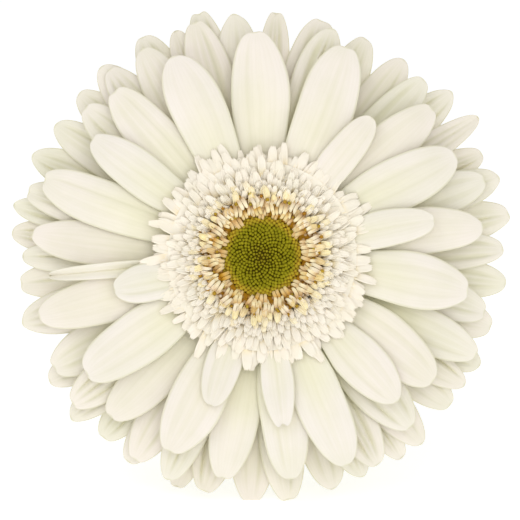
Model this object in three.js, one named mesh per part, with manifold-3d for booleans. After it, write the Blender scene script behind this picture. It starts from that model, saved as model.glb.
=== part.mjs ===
// Cut gerbera: one large white flower head on its leafless stem, laid on a flat surface.
// Millimetres, +Z up. The stem runs along +Y and the face of the flower looks along -Y and slightly
// up. The head rests on the tips of its lowest petals and the stem on its cut end.
// Everything is first modelled in the head's own frame, where +Z is the way the face looks, the
// front petals spring from z = 0, and angles run clockwise from +Y as seen from the front.

import * as THREE from 'three';
import { mergeVertices } from 'three/addons/utils/BufferGeometryUtils.js';
import Module from 'manifold-3d';

const wasm = await Module();
wasm.setup();

// ---------------------------------------------------------------- driving dimensions

const GAP = 0.3; // between pieces that touch in the real flower

const FRONT_REACH = 52; // from the head's axis to a typical petal tip, whorl by whorl
const MIDDLE_REACH = 55.5;
const REAR_REACH = 57;
const SHORT_REACH = 39;
const FRONT_WIDTH = 12;
const MIDDLE_WIDTH = 10.5;
const REAR_WIDTH = 10;
const SHORT_WIDTH = 8;

const PETAL_THICKNESS = 0.5;
const PETAL_CAMBER = 0.4; // how far a petal's long edges lie below its middle
const PETAL_WIDEST = 0.6; // share of a blade's length at which it is widest
const PETAL_ROOT = 0.42; // share of its full width that a blade has at its root
const PETAL_BLUNTNESS = 2.4; // 2 gives a blade an elliptical tip, and more a squarer one
const PETAL_RISE = 12; // slope and droop of the arch that every petal follows
const PETAL_DROOP = 13;
const LEVEL_STEP = 1.5; // petals lie in levels, one behind the other
const LAST_LEVEL = 7;

const CLAW_WIDTH = 1.7; // the narrow foot of a petal
const CLAW_THICKNESS = 0.35;
const CLAW_LENGTH = 3;
const CLAW_BEND = 1.8; // radius of the turn from the claw into the blade
const CLAW_RADIUS = 10.5; // where the foremost level stands on the receptacle
const CLAW_STEP = 0.5; // each level behind stands this much further out
const FAN_FOOT_WIDTH = 0.6; // how far a fan's shared foot reaches out past its claws
const FAN_FOOT_MARGIN = 1.2; // and past the outermost ones sideways, in degrees

const DISC_RADIUS = 8.9; // the green eye of closed buds
const DISC_CROWN = 2.2; // height of its rounded edge above the front petals' level
const DISC_SIDE = 2; // height of its rounded side
const DISC_DIMPLE = 0.9; // depth of the hollow in its middle
const OPEN_FLORETS_RADIUS = 14.6; // the cream ring of open disc florets around the eye
const OPEN_FLORETS_HEIGHT = 3.6;
const OPEN_FLORETS_SLOPE = 0.6; // how much lower the ring's inner edge is
const OPEN_FLORETS_ROOT = 0.7; // room between the ring's foot and the foremost claws
const OPEN_FLORET_TEETH = 24;
const OPEN_FLORET_TOOTH = 0.6;
const TRANS_FLORETS_RADIUS = 22.5; // the white ring of short strap florets around that
const TRANS_FLORETS_HEIGHT = 3.4;
const TRANS_FLORETS_CREST = 2.5; // distance from the ring's inner edge to its highest line
const TRANS_FLORETS_EDGE = 0.8; // thickness of its outer edge
const TRANS_FLORETS_LIFT = 0.9; // height of its underside above the arch of the petals
const TRANS_FLORET_TEETH = 30;
const TRANS_FLORET_TOOTH = 2;

const RECEPTACLE_LIP = 0.7; // how far the receptacle's rim reaches past the rearmost claws
const RECEPTACLE_SHOULDER_IN = 1.5; // from the rim in and down to the shoulder
const RECEPTACLE_SHOULDER_DOWN = 4;
const RECEPTACLE_DEPTH = 10; // from the rim down to the stem
const RECEPTACLE_FOOT_LIP = 1; // how far the receptacle's foot reaches past the stem's neck
const RECEPTACLE_TOP_INSET = 0.4; // the flat top ends this far inside the foremost claws

const BRACT_THICKNESS = 0.8;
const BRACT_FLARE = 1.1; // how far the rim of the cup of bracts stands out from the receptacle
const BRACT_CLEARANCE = 0.45; // between a row of bracts and what it lies on
const BRACT_RIM_RISE = 1.5; // height of the inner row's rim above the receptacle's rim
const BRACT_ROW_DROP = 4; // how much lower the outer row's rim is
const BRACT_TIP_SLOPE = 0.6; // rise of the free tips per distance outwards
const INNER_BRACTS = 22;
const OUTER_BRACTS = 16;
const INNER_BRACT_TIP = 5.1; // how far the free tips reach past the valleys between them
const OUTER_BRACT_TIP = 3.8;

const STEM_LENGTH = 370;
const STEM_NECK_RADIUS = 2.9;
const STEM_FOOT_RADIUS = 3.8;
const STEM_BOW = 22; // how far the cut end lies off the head's axis

// ---------------------------------------------------------------- the petals, one by one
// A row is [clockwise angle in degrees, reach and width as differences from the whorl's own in mm,
// sideways lean of the tip in degrees, level]. Level 0 is the foremost.

const SHORT_PETALS = [
  [38.5, 1.6, 0.2, 0, 0],
  [77, 1.4, 0.6, 1, 0],
  [173, 0.7, -0.6, 0, 0],
  [200, -2.8, 0.4, -1, 0],
  [256.5, -4.2, 1, 1, 0],
];

const FRONT_PETALS = [
  [0.2, 0, 1.3, -2, 2],
  [24, 0, 1.3, -2, 1],
  [49, 0.2, -1.6, 0, 2],
  [61.5, -1.8, 0.3, 1, 1],
  [80, -0.9, -1, 2.5, 2],
  [98.5, -3.9, 0.6, 1, 1],
  [123, -3.2, 0, 3, 2],
  [136.5, -6.7, -1, 0.5, 1],
  [158, -0.3, -0.4, 0, 1],
  [172.5, -0.3, -1.2, 0, 2],
  [189, 0.2, -1.4, 1, 3],
  [203.5, -2.3, 0.6, 2, 1],
  [222, -0.7, -1, 1.5, 3],
  [237, -3, 0.6, -1, 1],
  [254.5, 1.1, -0.8, 0.5, 2],
  [264.8, -2.3, -8.2, 0, 1],
  [273.5, 1.1, -2, 2, 3],
  [287.5, 1.6, -0.6, 2, 2],
  [303.8, -4.6, -2, 1, 1],
  [318, -0.7, -1, 0, 2],
  [337, -1.8, 0.6, -1, 1],
];

const MIDDLE_PETALS = [
  [16, -0.7, 0, 1, 4],
  [42.5, 0, -0.6, 0, 5],
  [71, -0.9, -0.4, 0, 4],
  [102, -2.1, 0, 2, 5],
  [114.6, -1.2, 0, 0, 4],
  [139, -3.3, 1.4, 0, 4],
  [151, -0.3, 0, 0, 5],
  [203, 0.4, -0.6, 0, 4],
  [212, 0, 0.4, 0, 5],
  [232, 0, 0.2, 0, 4],
  [242, -0.4, 1, 0, 5],
  [285.4, 1.1, -1, 0, 4],
  [310, -2, 0, 0, 4],
  [320.8, 0.3, -0.4, 0, 5],
  [330, -0.4, 0.6, 0, 4],
  [344, 1.1, 0, 0, 5],
];

// The rear petals stand so close that four neighbours share one foot, as a fan.
const REAR_FANS = [
  [[353.5, -0.8, 0.6, 0, 6], [3.3, 0.1, -2.5, 0, 7], [14, -0.2, 1.5, 0, 6], [25.4, -1, 0, 0, 7]],
  [[35.8, -1, 0, 0, 6], [49.2, 0.9, -0.4, 0, 7], [57.3, 2.4, -2.6, 0, 6], [65, -0.7, -0.8, 0, 7]],
  [[71.5, 0.6, 0.2, 0, 6], [80.4, 1, 0.4, 0, 7], [88.3, -1, -0.6, 0, 6], [96.3, -0.3, 0, 0, 7]],
  [[107, -1.1, 0.6, 0, 6], [116.7, -0.7, 0, 0, 7], [122.5, -1.6, -1, 0, 6], [128.3, -1.5, 0.4, 0, 7]],
  [[139.6, -0.1, 0, 0, 6], [145.3, 0, -2, 0, 7], [155.5, -1.1, 0, 0, 6], [163, -0.8, 0.4, 0, 7]],
  [[174, 0, 0.2, 0, 6], [182.6, 0, 0.6, 0, 7], [193.8, -0.8, 0.6, 0, 6], [200.4, 0.4, -1.6, 0, 7]],
  [[213, 0.1, -0.8, 0, 6], [221.3, -0.7, 0, 0, 7], [229.6, 0.9, -0.6, 0, 6], [239.5, 0.2, 0, 0, 7]],
  [[254.6, 0.4, 0.8, 0, 6], [263.6, -0.2, -0.4, 0, 7], [270, -1.5, -2, 0, 6], [275.4, 1.2, -1, 0, 7]],
  [[281.7, 1.6, -2, 0, 6], [293.8, 1, 0, 0, 7], [302.5, -0.4, 0, 0, 6], [311.7, -0.3, 0.4, 0, 7]],
  [[319.6, 0.4, 0.8, 0, 6], [331.3, 1.2, 0.6, 0, 7], [339, -1.1, -2, 0, 6], [345.5, 1.8, -0.6, 0, 7]],
];

// ---------------------------------------------------------------- materials

const plant = (color, roughness) => new THREE.MeshStandardMaterial({ color, roughness, metalness: 0 });
const IVORY = plant(0xf1ebdc, 0.55);
const PALE_IVORY = plant(0xe8e3cc, 0.6);
const CREAM = plant(0xf3ead2, 0.6);
const TAN = plant(0xd9bf86, 0.65);
const EYE_GREEN = plant(0x7c8a1e, 0.7);
const FLESH_GREEN = plant(0xb9c48a, 0.7);
const BRACT_GREEN = plant(0x6f8a3c, 0.7);
const STEM_GREEN = plant(0x8fa65a, 0.6);

// ---------------------------------------------------------------- geometry helpers

const radians = THREE.MathUtils.degToRad;

// A point of the head's own frame, from its distance to the axis, clockwise angle and height.
function polar(radius, angle, height) {
  return new THREE.Vector3(radius * Math.sin(angle), radius * Math.cos(angle), height);
}

// Skins a row of loops with equal point counts. An open row is capped at both ends, and a closed
// row runs round into itself. Loops turn anticlockwise as seen from the row's far end.
function loft(loops, closed = false) {
  const count = loops[0].length;
  const positions = loops.flat().flatMap((p) => [p.x, p.y, p.z]);
  const faces = [];
  const spans = closed ? loops.length : loops.length - 1;
  for (let i = 0; i < spans; i++) {
    const here = i * count;
    const next = ((i + 1) % loops.length) * count;
    for (let j = 0; j < count; j++) {
      const k = (j + 1) % count;
      faces.push(here + j, here + k, next + k, here + j, next + k, next + j);
    }
  }
  if (!closed) {
    const last = (loops.length - 1) * count;
    for (let j = 1; j < count - 1; j++) {
      faces.push(0, j + 1, j, last, last + j, last + j + 1);
    }
  }
  const geometry = new THREE.BufferGeometry();
  geometry.setAttribute('position', new THREE.Float32BufferAttribute(positions, 3));
  geometry.setIndex(faces);
  return geometry;
}

function toSolid(geometry) {
  const merged = mergeVertices(geometry, 1e-4);
  return new wasm.Manifold(new wasm.Mesh({
    numProp: 3,
    vertProperties: merged.attributes.position.array,
    triVerts: new Uint32Array(merged.index.array),
  }));
}

function toGeometry(solid) {
  const mesh = solid.getMesh();
  const geometry = new THREE.BufferGeometry();
  geometry.setAttribute('position', new THREE.BufferAttribute(mesh.vertProperties, 3));
  geometry.setIndex(new THREE.BufferAttribute(mesh.triVerts, 1));
  return geometry;
}

// A solid of revolution about the head's axis, from [radius, height] points that run upwards.
function turned(outline, segments = 40) {
  const points = outline.map(([radius, height]) => new THREE.Vector2(radius, height));
  const geometry = new THREE.LatheGeometry(points, segments);
  geometry.deleteAttribute('normal');
  geometry.deleteAttribute('uv');
  return geometry.rotateX(Math.PI / 2); // the lathe turns about +Y
}

// ---------------------------------------------------------------- petals

const BLADE_START = CLAW_RADIUS + CLAW_BEND;
const BLADE_STATIONS = [0, 0.24, 0.48, 0.7, 0.88, 0.98]; // shares of a blade's length
const MOST_FREE_ANGLE = 45;

const levelHeight = (level) => -LEVEL_STEP * level;
const clawRadius = (level) => CLAW_RADIUS + CLAW_STEP * level;
const clawTop = (level) => levelHeight(level) - CLAW_BEND;
const clawFoot = (level) => clawTop(level) - CLAW_LENGTH;

// Height of the arch that every petal follows, at a distance from the head's axis.
function archHeight(radius) {
  const x = Math.max(0, radius - BLADE_START) / (REAR_REACH - BLADE_START);
  return PETAL_RISE * x - PETAL_DROOP * x * x;
}

// Share of a blade's full width, from its root at 0 to its tip at 1.
function bladeShape(t) {
  if (t > PETAL_WIDEST) {
    const u = (t - PETAL_WIDEST) / (1 - PETAL_WIDEST);
    return Math.sqrt(Math.max(0, 1 - u ** PETAL_BLUNTNESS));
  }
  return THREE.MathUtils.lerp(PETAL_ROOT, 1, THREE.MathUtils.smoothstep(t, -0.15, PETAL_WIDEST));
}

// The six-sided section of a petal. place is its middle and normal its upper side's direction, both
// as [outwards, upwards] in the plane through the head's axis at that angle.
function petalSection(angle, place, normal, width, thickness, camber) {
  const side = polar(1, angle + Math.PI / 2, 0);
  const corner = (across, lift) => {
    const height = lift * thickness / 2 - camber * across * across;
    const point = polar(place[0] + normal[0] * height, angle, place[1] + normal[1] * height);
    return point.addScaledVector(side, across * width / 2);
  };
  return [corner(-1, 0), corner(-0.5, 1), corner(0.5, 1), corner(1, 0), corner(0.5, -1), corner(-0.5, -1)];
}

// Angle to either side that a petal may fill without meeting another petal of its own level.
function freeAngle(row) {
  const [degrees, , , lean, level] = row;
  let free = MOST_FREE_ANGLE;
  for (const other of [...SHORT_PETALS, ...FRONT_PETALS, ...MIDDLE_PETALS, ...REAR_FANS.flat()]) {
    if (other !== row && other[4] === level) {
      const between = Math.abs(THREE.MathUtils.euclideanModulo(other[0] - degrees + 180, 360) - 180);
      free = Math.min(free, (between - Math.abs(other[3] - lean)) / 2);
    }
  }
  return radians(free);
}

function petalGeometry(row, reach, width) {
  const [degrees, , , lean, level] = row;
  const angle = radians(degrees);
  const spread = Math.tan(freeAngle(row));
  const root = clawRadius(level);
  const start = root + CLAW_BEND;
  const halfway = CLAW_BEND * (1 - Math.SQRT1_2);
  const claw = (place, normal) => petalSection(angle, place, normal, CLAW_WIDTH, CLAW_THICKNESS, 0);
  const loops = [
    claw([root, clawFoot(level) + GAP], [-1, 0]),
    claw([root, clawTop(level)], [-1, 0]),
    claw([root + halfway, levelHeight(level) - halfway], [-Math.SQRT1_2, Math.SQRT1_2]),
  ];
  for (const t of BLADE_STATIONS) {
    const distance = THREE.MathUtils.lerp(start, reach, t);
    const room = 2 * distance * spread - GAP;
    const wide = Math.min(Math.max(CLAW_WIDTH, bladeShape(t) * width), room);
    const place = [distance, levelHeight(level) + archHeight(distance)];
    const camber = PETAL_CAMBER * (wide / width) ** 2;
    loops.push(petalSection(angle + radians(lean) * t * t, place, [0, 1], wide, PETAL_THICKNESS, camber));
  }
  return loft(loops);
}

const petal = (row, reach, width) => petalGeometry(row, reach + row[1], width + row[2]);

// The wedge of flesh that carries the petals of a fan, from its first claw to its last.
function fanFoot(rows) {
  const levels = rows.map((row) => row[4]);
  const [front, back] = [Math.min(...levels), Math.max(...levels)];
  const [first, last] = [rows[0][0], rows[rows.length - 1][0]];
  const from = first - FAN_FOOT_MARGIN;
  const span = THREE.MathUtils.euclideanModulo(last - first, 360) + 2 * FAN_FOOT_MARGIN;
  const inner = clawRadius(front);
  const outer = clawRadius(back) + FAN_FOOT_WIDTH;
  const steps = 6;
  const loops = Array.from({ length: steps + 1 }, (_, i) => {
    const angle = radians(from + (span * i) / steps);
    return [
      polar(inner, angle, clawFoot(front) + GAP),
      polar(outer, angle, clawFoot(back) + GAP),
      polar(outer, angle, clawTop(back)),
      polar(inner, angle, clawTop(back)),
    ];
  });
  return loft(loops);
}

function rearFan(rows) {
  const petals = rows.map((row) => toSolid(petal(row, REAR_REACH, REAR_WIDTH)));
  return toGeometry(petals.reduce((joined, next) => joined.add(next), toSolid(fanFoot(rows))));
}

// ---------------------------------------------------------------- centre of the flower

// The receptacle's flank runs down and out just inside the feet of the claws.
const TOP_RADIUS = CLAW_RADIUS - RECEPTACLE_TOP_INSET;
const TOP_HEIGHT = clawFoot(0);
const flankHeight = (radius) => TOP_HEIGHT - ((radius - TOP_RADIUS) * LEVEL_STEP) / CLAW_STEP;
const RIM_RADIUS = clawRadius(LAST_LEVEL) + RECEPTACLE_LIP;
const RIM_HEIGHT = flankHeight(RIM_RADIUS);
const RIM = [RIM_RADIUS, RIM_HEIGHT];
const SHOULDER = [RIM_RADIUS - RECEPTACLE_SHOULDER_IN, RIM_HEIGHT - RECEPTACLE_SHOULDER_DOWN];
const FOOT = [STEM_NECK_RADIUS + RECEPTACLE_FOOT_LIP, RIM_HEIGHT - RECEPTACLE_DEPTH];

function receptacle() {
  return turned([[0, FOOT[1]], FOOT, SHOULDER, RIM, [TOP_RADIUS, TOP_HEIGHT], [0, TOP_HEIGHT]]);
}

function discBuds() {
  const base = TOP_HEIGHT + GAP;
  return turned([
    [0, base],
    [DISC_RADIUS * 0.87, base],
    [DISC_RADIUS, DISC_CROWN - DISC_SIDE],
    [DISC_RADIUS * 0.9, DISC_CROWN - DISC_SIDE / 4],
    [DISC_RADIUS * 0.7, DISC_CROWN],
    [DISC_RADIUS * 0.35, DISC_CROWN - DISC_DIMPLE * 0.4],
    [0, DISC_CROWN - DISC_DIMPLE],
  ]);
}

// A ring of florets as one toothed band. profile holds [radius, height, share of the tooth] points,
// anticlockwise with outwards on the right.
function toothedRing(profile, teeth, tooth) {
  const loops = [];
  for (let i = 0; i < teeth * 2; i++) {
    const angle = (i * Math.PI) / teeth;
    const push = i % 2 === 0 ? tooth : 0;
    loops.push(profile.map(([radius, height, share]) => polar(radius + push * share, angle, height)));
  }
  return loft(loops, true);
}

function openFlorets() {
  const base = TOP_HEIGHT + GAP;
  const neck = CLAW_RADIUS - OPEN_FLORETS_ROOT;
  const inner = DISC_RADIUS + GAP;
  const outer = OPEN_FLORETS_RADIUS - OPEN_FLORET_TOOTH;
  const under = PETAL_THICKNESS + 2 * GAP;
  const side = DISC_CROWN - DISC_SIDE;
  return toothedRing([
    [DISC_RADIUS * 0.87 + 2 * GAP, base, 0],
    [neck, base, 0],
    [neck, 0, 0],
    [CLAW_RADIUS + 1, under, 0],
    [outer, under + 1, 1],
    [outer, OPEN_FLORETS_HEIGHT, 1],
    [inner + GAP, OPEN_FLORETS_HEIGHT - OPEN_FLORETS_SLOPE, 0],
    [inner, side, 0],
  ], OPEN_FLORET_TEETH, OPEN_FLORET_TOOTH);
}

function transFlorets() {
  const inner = OPEN_FLORETS_RADIUS + GAP;
  const outer = TRANS_FLORETS_RADIUS - TRANS_FLORET_TOOTH;
  const under = archHeight(outer) + TRANS_FLORETS_LIFT;
  return toothedRing([
    [inner, archHeight(inner) + TRANS_FLORETS_LIFT, 0],
    [outer, under, 1],
    [outer, under + TRANS_FLORETS_EDGE, 1],
    [inner + TRANS_FLORETS_CREST, TRANS_FLORETS_HEIGHT, 0],
    [inner, TRANS_FLORETS_HEIGHT - OPEN_FLORETS_SLOPE, 0],
  ], TRANS_FLORET_TEETH, TRANS_FLORET_TOOTH);
}

// ---------------------------------------------------------------- bracts and stem

// A row of bracts: a cup around the receptacle whose rim is drawn out into pointed tips. Row 0 is
// the inner one. phase turns the row, in half bracts.
function bractRow(row, bracts, tip, phase) {
  const inside = BRACT_CLEARANCE + row * (BRACT_THICKNESS + BRACT_CLEARANCE);
  const outside = inside + BRACT_THICKNESS;
  const rimRadius = RIM_RADIUS + BRACT_FLARE;
  const rimHeight = RIM_HEIGHT + BRACT_RIM_RISE - row * BRACT_ROW_DROP;
  const offset = ([radius, height], depth) => {
    const slant = depth * Math.SQRT1_2;
    return [radius + slant, height - slant, 0];
  };
  const profile = [
    offset(FOOT, outside),
    offset(SHOULDER, outside),
    offset([rimRadius, rimHeight], inside + BRACT_THICKNESS / 2),
    offset([rimRadius, rimHeight], inside),
    offset(SHOULDER, inside),
    offset(FOOT, inside),
  ];
  const loops = [];
  for (let i = 0; i < bracts * 2; i++) {
    const angle = ((i + phase) * Math.PI) / bracts;
    const push = i % 2 === 0 ? tip : 0;
    loops.push(profile.map(([radius, height], j) => {
      const out = j === 2 || j === 3 ? push : 0;
      return polar(radius + out, angle, height + out * BRACT_TIP_SLOPE);
    }));
  }
  return loft(loops, true);
}

function stem() {
  const sides = 14;
  const steps = 16;
  const neck = FOOT[1] - GAP;
  const xAxis = new THREE.Vector3(1, 0, 0);
  const loops = Array.from({ length: steps + 1 }, (_, i) => {
    const t = i / steps;
    const radius = THREE.MathUtils.lerp(STEM_NECK_RADIUS, STEM_FOOT_RADIUS, t);
    const slope = Math.atan2(2 * STEM_BOW * t, STEM_LENGTH);
    const centre = new THREE.Vector3(0, STEM_BOW * t * t, neck - STEM_LENGTH * t);
    return Array.from({ length: sides }, (__, j) => {
      const angle = (-2 * Math.PI * j) / sides;
      const across = new THREE.Vector3(Math.cos(angle), Math.sin(angle), 0);
      return across.multiplyScalar(radius).applyAxisAngle(xAxis, slope).add(centre);
    });
  });
  return loft(loops);
}

// ---------------------------------------------------------------- assembly

const flower = new THREE.Group();

function addPiece(name, geometry, material) {
  const mesh = new THREE.Mesh(geometry, material);
  mesh.name = name;
  flower.add(mesh);
}

function addPieces(name, geometries, material) {
  geometries.forEach((geometry, i) => {
    addPiece(`${name}_${String(i + 1).padStart(2, '0')}`, geometry, material);
  });
}

const whorl = (rows, reach, width) => rows.map((row) => petal(row, reach, width));

addPiece('stem', stem(), STEM_GREEN);
addPiece('receptacle', receptacle(), FLESH_GREEN);
addPiece('inner_bracts', bractRow(0, INNER_BRACTS, INNER_BRACT_TIP, 0), BRACT_GREEN);
addPiece('outer_bracts', bractRow(1, OUTER_BRACTS, OUTER_BRACT_TIP, 0.5), BRACT_GREEN);
addPiece('disc_buds', discBuds(), EYE_GREEN);
addPiece('open_disc_florets', openFlorets(), TAN);
addPiece('trans_florets', transFlorets(), CREAM);
addPieces('short_petal', whorl(SHORT_PETALS, SHORT_REACH, SHORT_WIDTH), CREAM);
addPieces('front_petal', whorl(FRONT_PETALS, FRONT_REACH, FRONT_WIDTH), IVORY);
addPieces('middle_petal', whorl(MIDDLE_PETALS, MIDDLE_REACH, MIDDLE_WIDTH), IVORY);
addPieces('rear_petal_fan', REAR_FANS.map(rearFan), PALE_IVORY);

// ---------------------------------------------------------------- laying the flower down

function vertices(meshes) {
  return meshes.flatMap((mesh) => {
    const stored = mesh.geometry.getAttribute('position');
    const point = (_, i) => new THREE.Vector3().fromBufferAttribute(stored, i);
    return Array.from({ length: stored.count }, point);
  });
}

// Height of the lowest point once the face looks up by tilt.
const lowest = (points, tilt) => Math.min(...points.map((p) => p.y * Math.cos(tilt) + p.z * Math.sin(tilt)));

// The tilt at which the lowest petal and the stem's cut end touch the same flat surface.
function restingTilt() {
  const stemPoints = vertices([flower.getObjectByName('stem')]);
  const headPoints = vertices(flower.children.filter((mesh) => mesh.name !== 'stem'));
  let [low, high] = [0, Math.PI / 4];
  for (let i = 0; i < 40; i++) {
    const middle = (low + high) / 2;
    if (lowest(stemPoints, middle) > lowest(headPoints, middle)) {
      low = middle;
    } else {
      high = middle;
    }
  }
  return low;
}

flower.rotation.x = Math.PI / 2 - restingTilt();
flower.updateMatrixWorld(true);
const bounds = new THREE.Box3().setFromObject(flower, true);
const middle = bounds.getCenter(new THREE.Vector3());
flower.position.set(-middle.x, -middle.y, -bounds.min.z);

export default flower;
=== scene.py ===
"""Cut gerbera: the visible flower head and stem, built around the CAD frame."""

import math
import random

import bmesh
import bpy
import numpy as np
from bpy.props import FloatProperty, FloatVectorProperty, IntProperty, PointerProperty
from mathutils import Matrix, Vector


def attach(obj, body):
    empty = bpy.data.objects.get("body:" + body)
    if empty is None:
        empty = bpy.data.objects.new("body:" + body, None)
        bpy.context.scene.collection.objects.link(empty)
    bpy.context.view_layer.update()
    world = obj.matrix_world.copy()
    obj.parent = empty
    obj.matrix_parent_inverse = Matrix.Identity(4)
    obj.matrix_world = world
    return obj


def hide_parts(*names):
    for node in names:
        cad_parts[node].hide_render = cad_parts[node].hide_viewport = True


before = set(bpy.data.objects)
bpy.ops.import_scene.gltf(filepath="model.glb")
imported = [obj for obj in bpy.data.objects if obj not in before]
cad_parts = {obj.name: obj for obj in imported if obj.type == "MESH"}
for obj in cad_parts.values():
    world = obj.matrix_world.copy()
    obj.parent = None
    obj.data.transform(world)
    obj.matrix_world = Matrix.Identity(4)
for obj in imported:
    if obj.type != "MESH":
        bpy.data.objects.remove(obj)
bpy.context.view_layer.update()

bl_info = {
    "name": "Cut Gerbera",
    "version": (1, 0, 0),
    "blender": (4, 5, 0),
    "location": "View3D > Sidebar > Gerbera",
    "description": "Builds a cut gerbera's petals, florets, bracts and stem around its CAD frame",
    "category": "Add Mesh",
}

MM = 0.001
GOLDEN_ANGLE = math.pi * (3 - math.sqrt(5))

# ---------------------------------------------------------------- the head's own frame
# The flower is shaped in millimetres in the head's own frame: +Z is the way the face looks, the
# front petals spring from z = 0, and angles run clockwise from +Y as seen from the front.

DISC_CROWN = 2.2  # highest point of the eye


def node_points(name):
    """The different points of a CAD node's mesh."""
    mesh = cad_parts[name].data
    points = np.empty(len(mesh.vertices) * 3)
    mesh.vertices.foreach_get("co", points)
    return np.unique(points.reshape(-1, 3).round(6), axis=0)


def head_matrix():
    """From the head's own frame, in metres, to the row's frame."""
    eye = node_points("disc_buds")
    back = Vector(node_points("receptacle").mean(axis=0))
    front = Vector(eye.mean(axis=0))
    face = (front - back).normalized()
    up = (Vector((0, 0, 1)) - face * face.z).normalized()
    right = up.cross(face)
    crown = float(max(eye @ np.array(face)))
    origin = front + face * (crown - DISC_CROWN * MM - front.dot(face))
    axes = Matrix((right, up, face)).transposed().to_4x4()
    return Matrix.Translation(origin) @ axes


HEAD = head_matrix()
TO_METRES = Matrix.Scale(MM, 4)
HEAD_MM = HEAD @ TO_METRES


def polar(radius, angle, height):
    return Vector((radius * math.sin(angle), radius * math.cos(angle), height))


def smoothstep(low, high, value):
    x = min(1.0, max(0.0, (value - low) / (high - low)))
    return x * x * (3 - 2 * x)


def lerp(a, b, t):
    return a + (b - a) * t


# ---------------------------------------------------------------- the petals, one by one
# A row is clockwise angle in degrees, reach and width as differences from the whorl's own, sideways
# lean of the tip in degrees, and level. Level 0 is the foremost.

SHORT_PETALS = [
    (38.5, 1.6, 0.2, 0, 0),
    (77, 1.4, 0.6, 1, 0),
    (173, 0.7, -0.6, 0, 0),
    (200, -2.8, 0.4, -1, 0),
    (256.5, -4.2, 1, 1, 0),
]
FRONT_PETALS = [
    (0.2, 0, 1.3, -2, 2),
    (24, 0, 1.3, -2, 1),
    (49, 0.2, -1.6, 0, 2),
    (61.5, -1.8, 0.3, 1, 1),
    (80, -0.9, -1, 2.5, 2),
    (98.5, -3.9, 0.6, 1, 1),
    (123, -3.2, 0, 3, 2),
    (136.5, -6.7, -1, 0.5, 1),
    (158, -0.3, -0.4, 0, 1),
    (172.5, -0.3, -1.2, 0, 2),
    (189, 0.2, -1.4, 1, 3),
    (203.5, -2.3, 0.6, 2, 1),
    (222, -0.7, -1, 1.5, 3),
    (237, -3, 0.6, -1, 1),
    (254.5, 1.1, -0.8, 0.5, 2),
    (264.8, -2.3, -8.2, 0, 1),
    (273.5, 1.1, -2, 2, 3),
    (287.5, 1.6, -0.6, 2, 2),
    (303.8, -4.6, -2, 1, 1),
    (318, -0.7, -1, 0, 2),
    (337, -1.8, 0.6, -1, 1),
]
MIDDLE_PETALS = [
    (16, -0.7, 0, 1, 4),
    (42.5, 0, -0.6, 0, 5),
    (71, -0.9, -0.4, 0, 4),
    (102, -2.1, 0, 2, 5),
    (114.6, -1.2, 0, 0, 4),
    (139, -3.3, 1.4, 0, 4),
    (151, -0.3, 0, 0, 5),
    (203, 0.4, -0.6, 0, 4),
    (212, 0, 0.4, 0, 5),
    (232, 0, 0.2, 0, 4),
    (242, -0.4, 1, 0, 5),
    (285.4, 1.1, -1, 0, 4),
    (310, -2, 0, 0, 4),
    (320.8, 0.3, -0.4, 0, 5),
    (330, -0.4, 0.6, 0, 4),
    (344, 1.1, 0, 0, 5),
]
REAR_FANS = [
    [(353.5, -0.8, 0.6, 0, 6), (3.3, 0.1, -2.5, 0, 7), (14, -0.2, 1.5, 0, 6), (25.4, -1, 0, 0, 7)],
    [(35.8, -1, 0, 0, 6), (49.2, 0.9, -0.4, 0, 7), (57.3, 2.4, -2.6, 0, 6), (65, -0.7, -0.8, 0, 7)],
    [(71.5, 0.6, 0.2, 0, 6), (80.4, 1, 0.4, 0, 7), (88.3, -1, -0.6, 0, 6), (96.3, -0.3, 0, 0, 7)],
    [(107, -1.1, 0.6, 0, 6), (116.7, -0.7, 0, 0, 7), (122.5, -1.6, -1, 0, 6), (128.3, -1.5, 0.4, 0, 7)],
    [(139.6, -0.1, 0, 0, 6), (145.3, 0, -2, 0, 7), (155.5, -1.1, 0, 0, 6), (163, -0.8, 0.4, 0, 7)],
    [(174, 0, 0.2, 0, 6), (182.6, 0, 0.6, 0, 7), (193.8, -0.8, 0.6, 0, 6), (200.4, 0.4, -1.6, 0, 7)],
    [(213, 0.1, -0.8, 0, 6), (221.3, -0.7, 0, 0, 7), (229.6, 0.9, -0.6, 0, 6), (239.5, 0.2, 0, 0, 7)],
    [(254.6, 0.4, 0.8, 0, 6), (263.6, -0.2, -0.4, 0, 7), (270, -1.5, -2, 0, 6), (275.4, 1.2, -1, 0, 7)],
    [(281.7, 1.6, -2, 0, 6), (293.8, 1, 0, 0, 7), (302.5, -0.4, 0, 0, 6), (311.7, -0.3, 0.4, 0, 7)],
    [(319.6, 0.4, 0.8, 0, 6), (331.3, 1.2, 0.6, 0, 7), (339, -1.1, -2, 0, 6), (345.5, 1.8, -0.6, 0, 7)],
]
ALL_PETALS = SHORT_PETALS + FRONT_PETALS + MIDDLE_PETALS + [row for fan in REAR_FANS for row in fan]

SHORT_SIZE = (39, 8)  # reach and width of a typical petal of the whorl
FRONT_SIZE = (52, 12)
MIDDLE_SIZE = (55.5, 10.5)
REAR_SIZE = (57, 10)

GAP = 0.3
LEVEL_STEP = 1.5
LAST_LEVEL = 7
PETAL_CAMBER = 0.4
PETAL_WIDEST = 0.6
PETAL_ROOT = 0.42  # share of its full width that a blade has at its root
PETAL_BLUNTNESS = 2.4
PETAL_RISE = 12
PETAL_DROOP = 13
CLAW_WIDTH = 1.7
CLAW_LENGTH = 3
CLAW_BEND = 1.8
CLAW_RADIUS = 10.5
CLAW_STEP = 0.5
BLADE_START = CLAW_RADIUS + CLAW_BEND

FAN_FOOT_WIDTH = 0.6  # how far a fan's shared foot reaches out past its claws
FAN_FOOT_MARGIN = 1.2  # and past the outermost ones sideways, in degrees
FAN_FOOT_STEPS = 12

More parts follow.
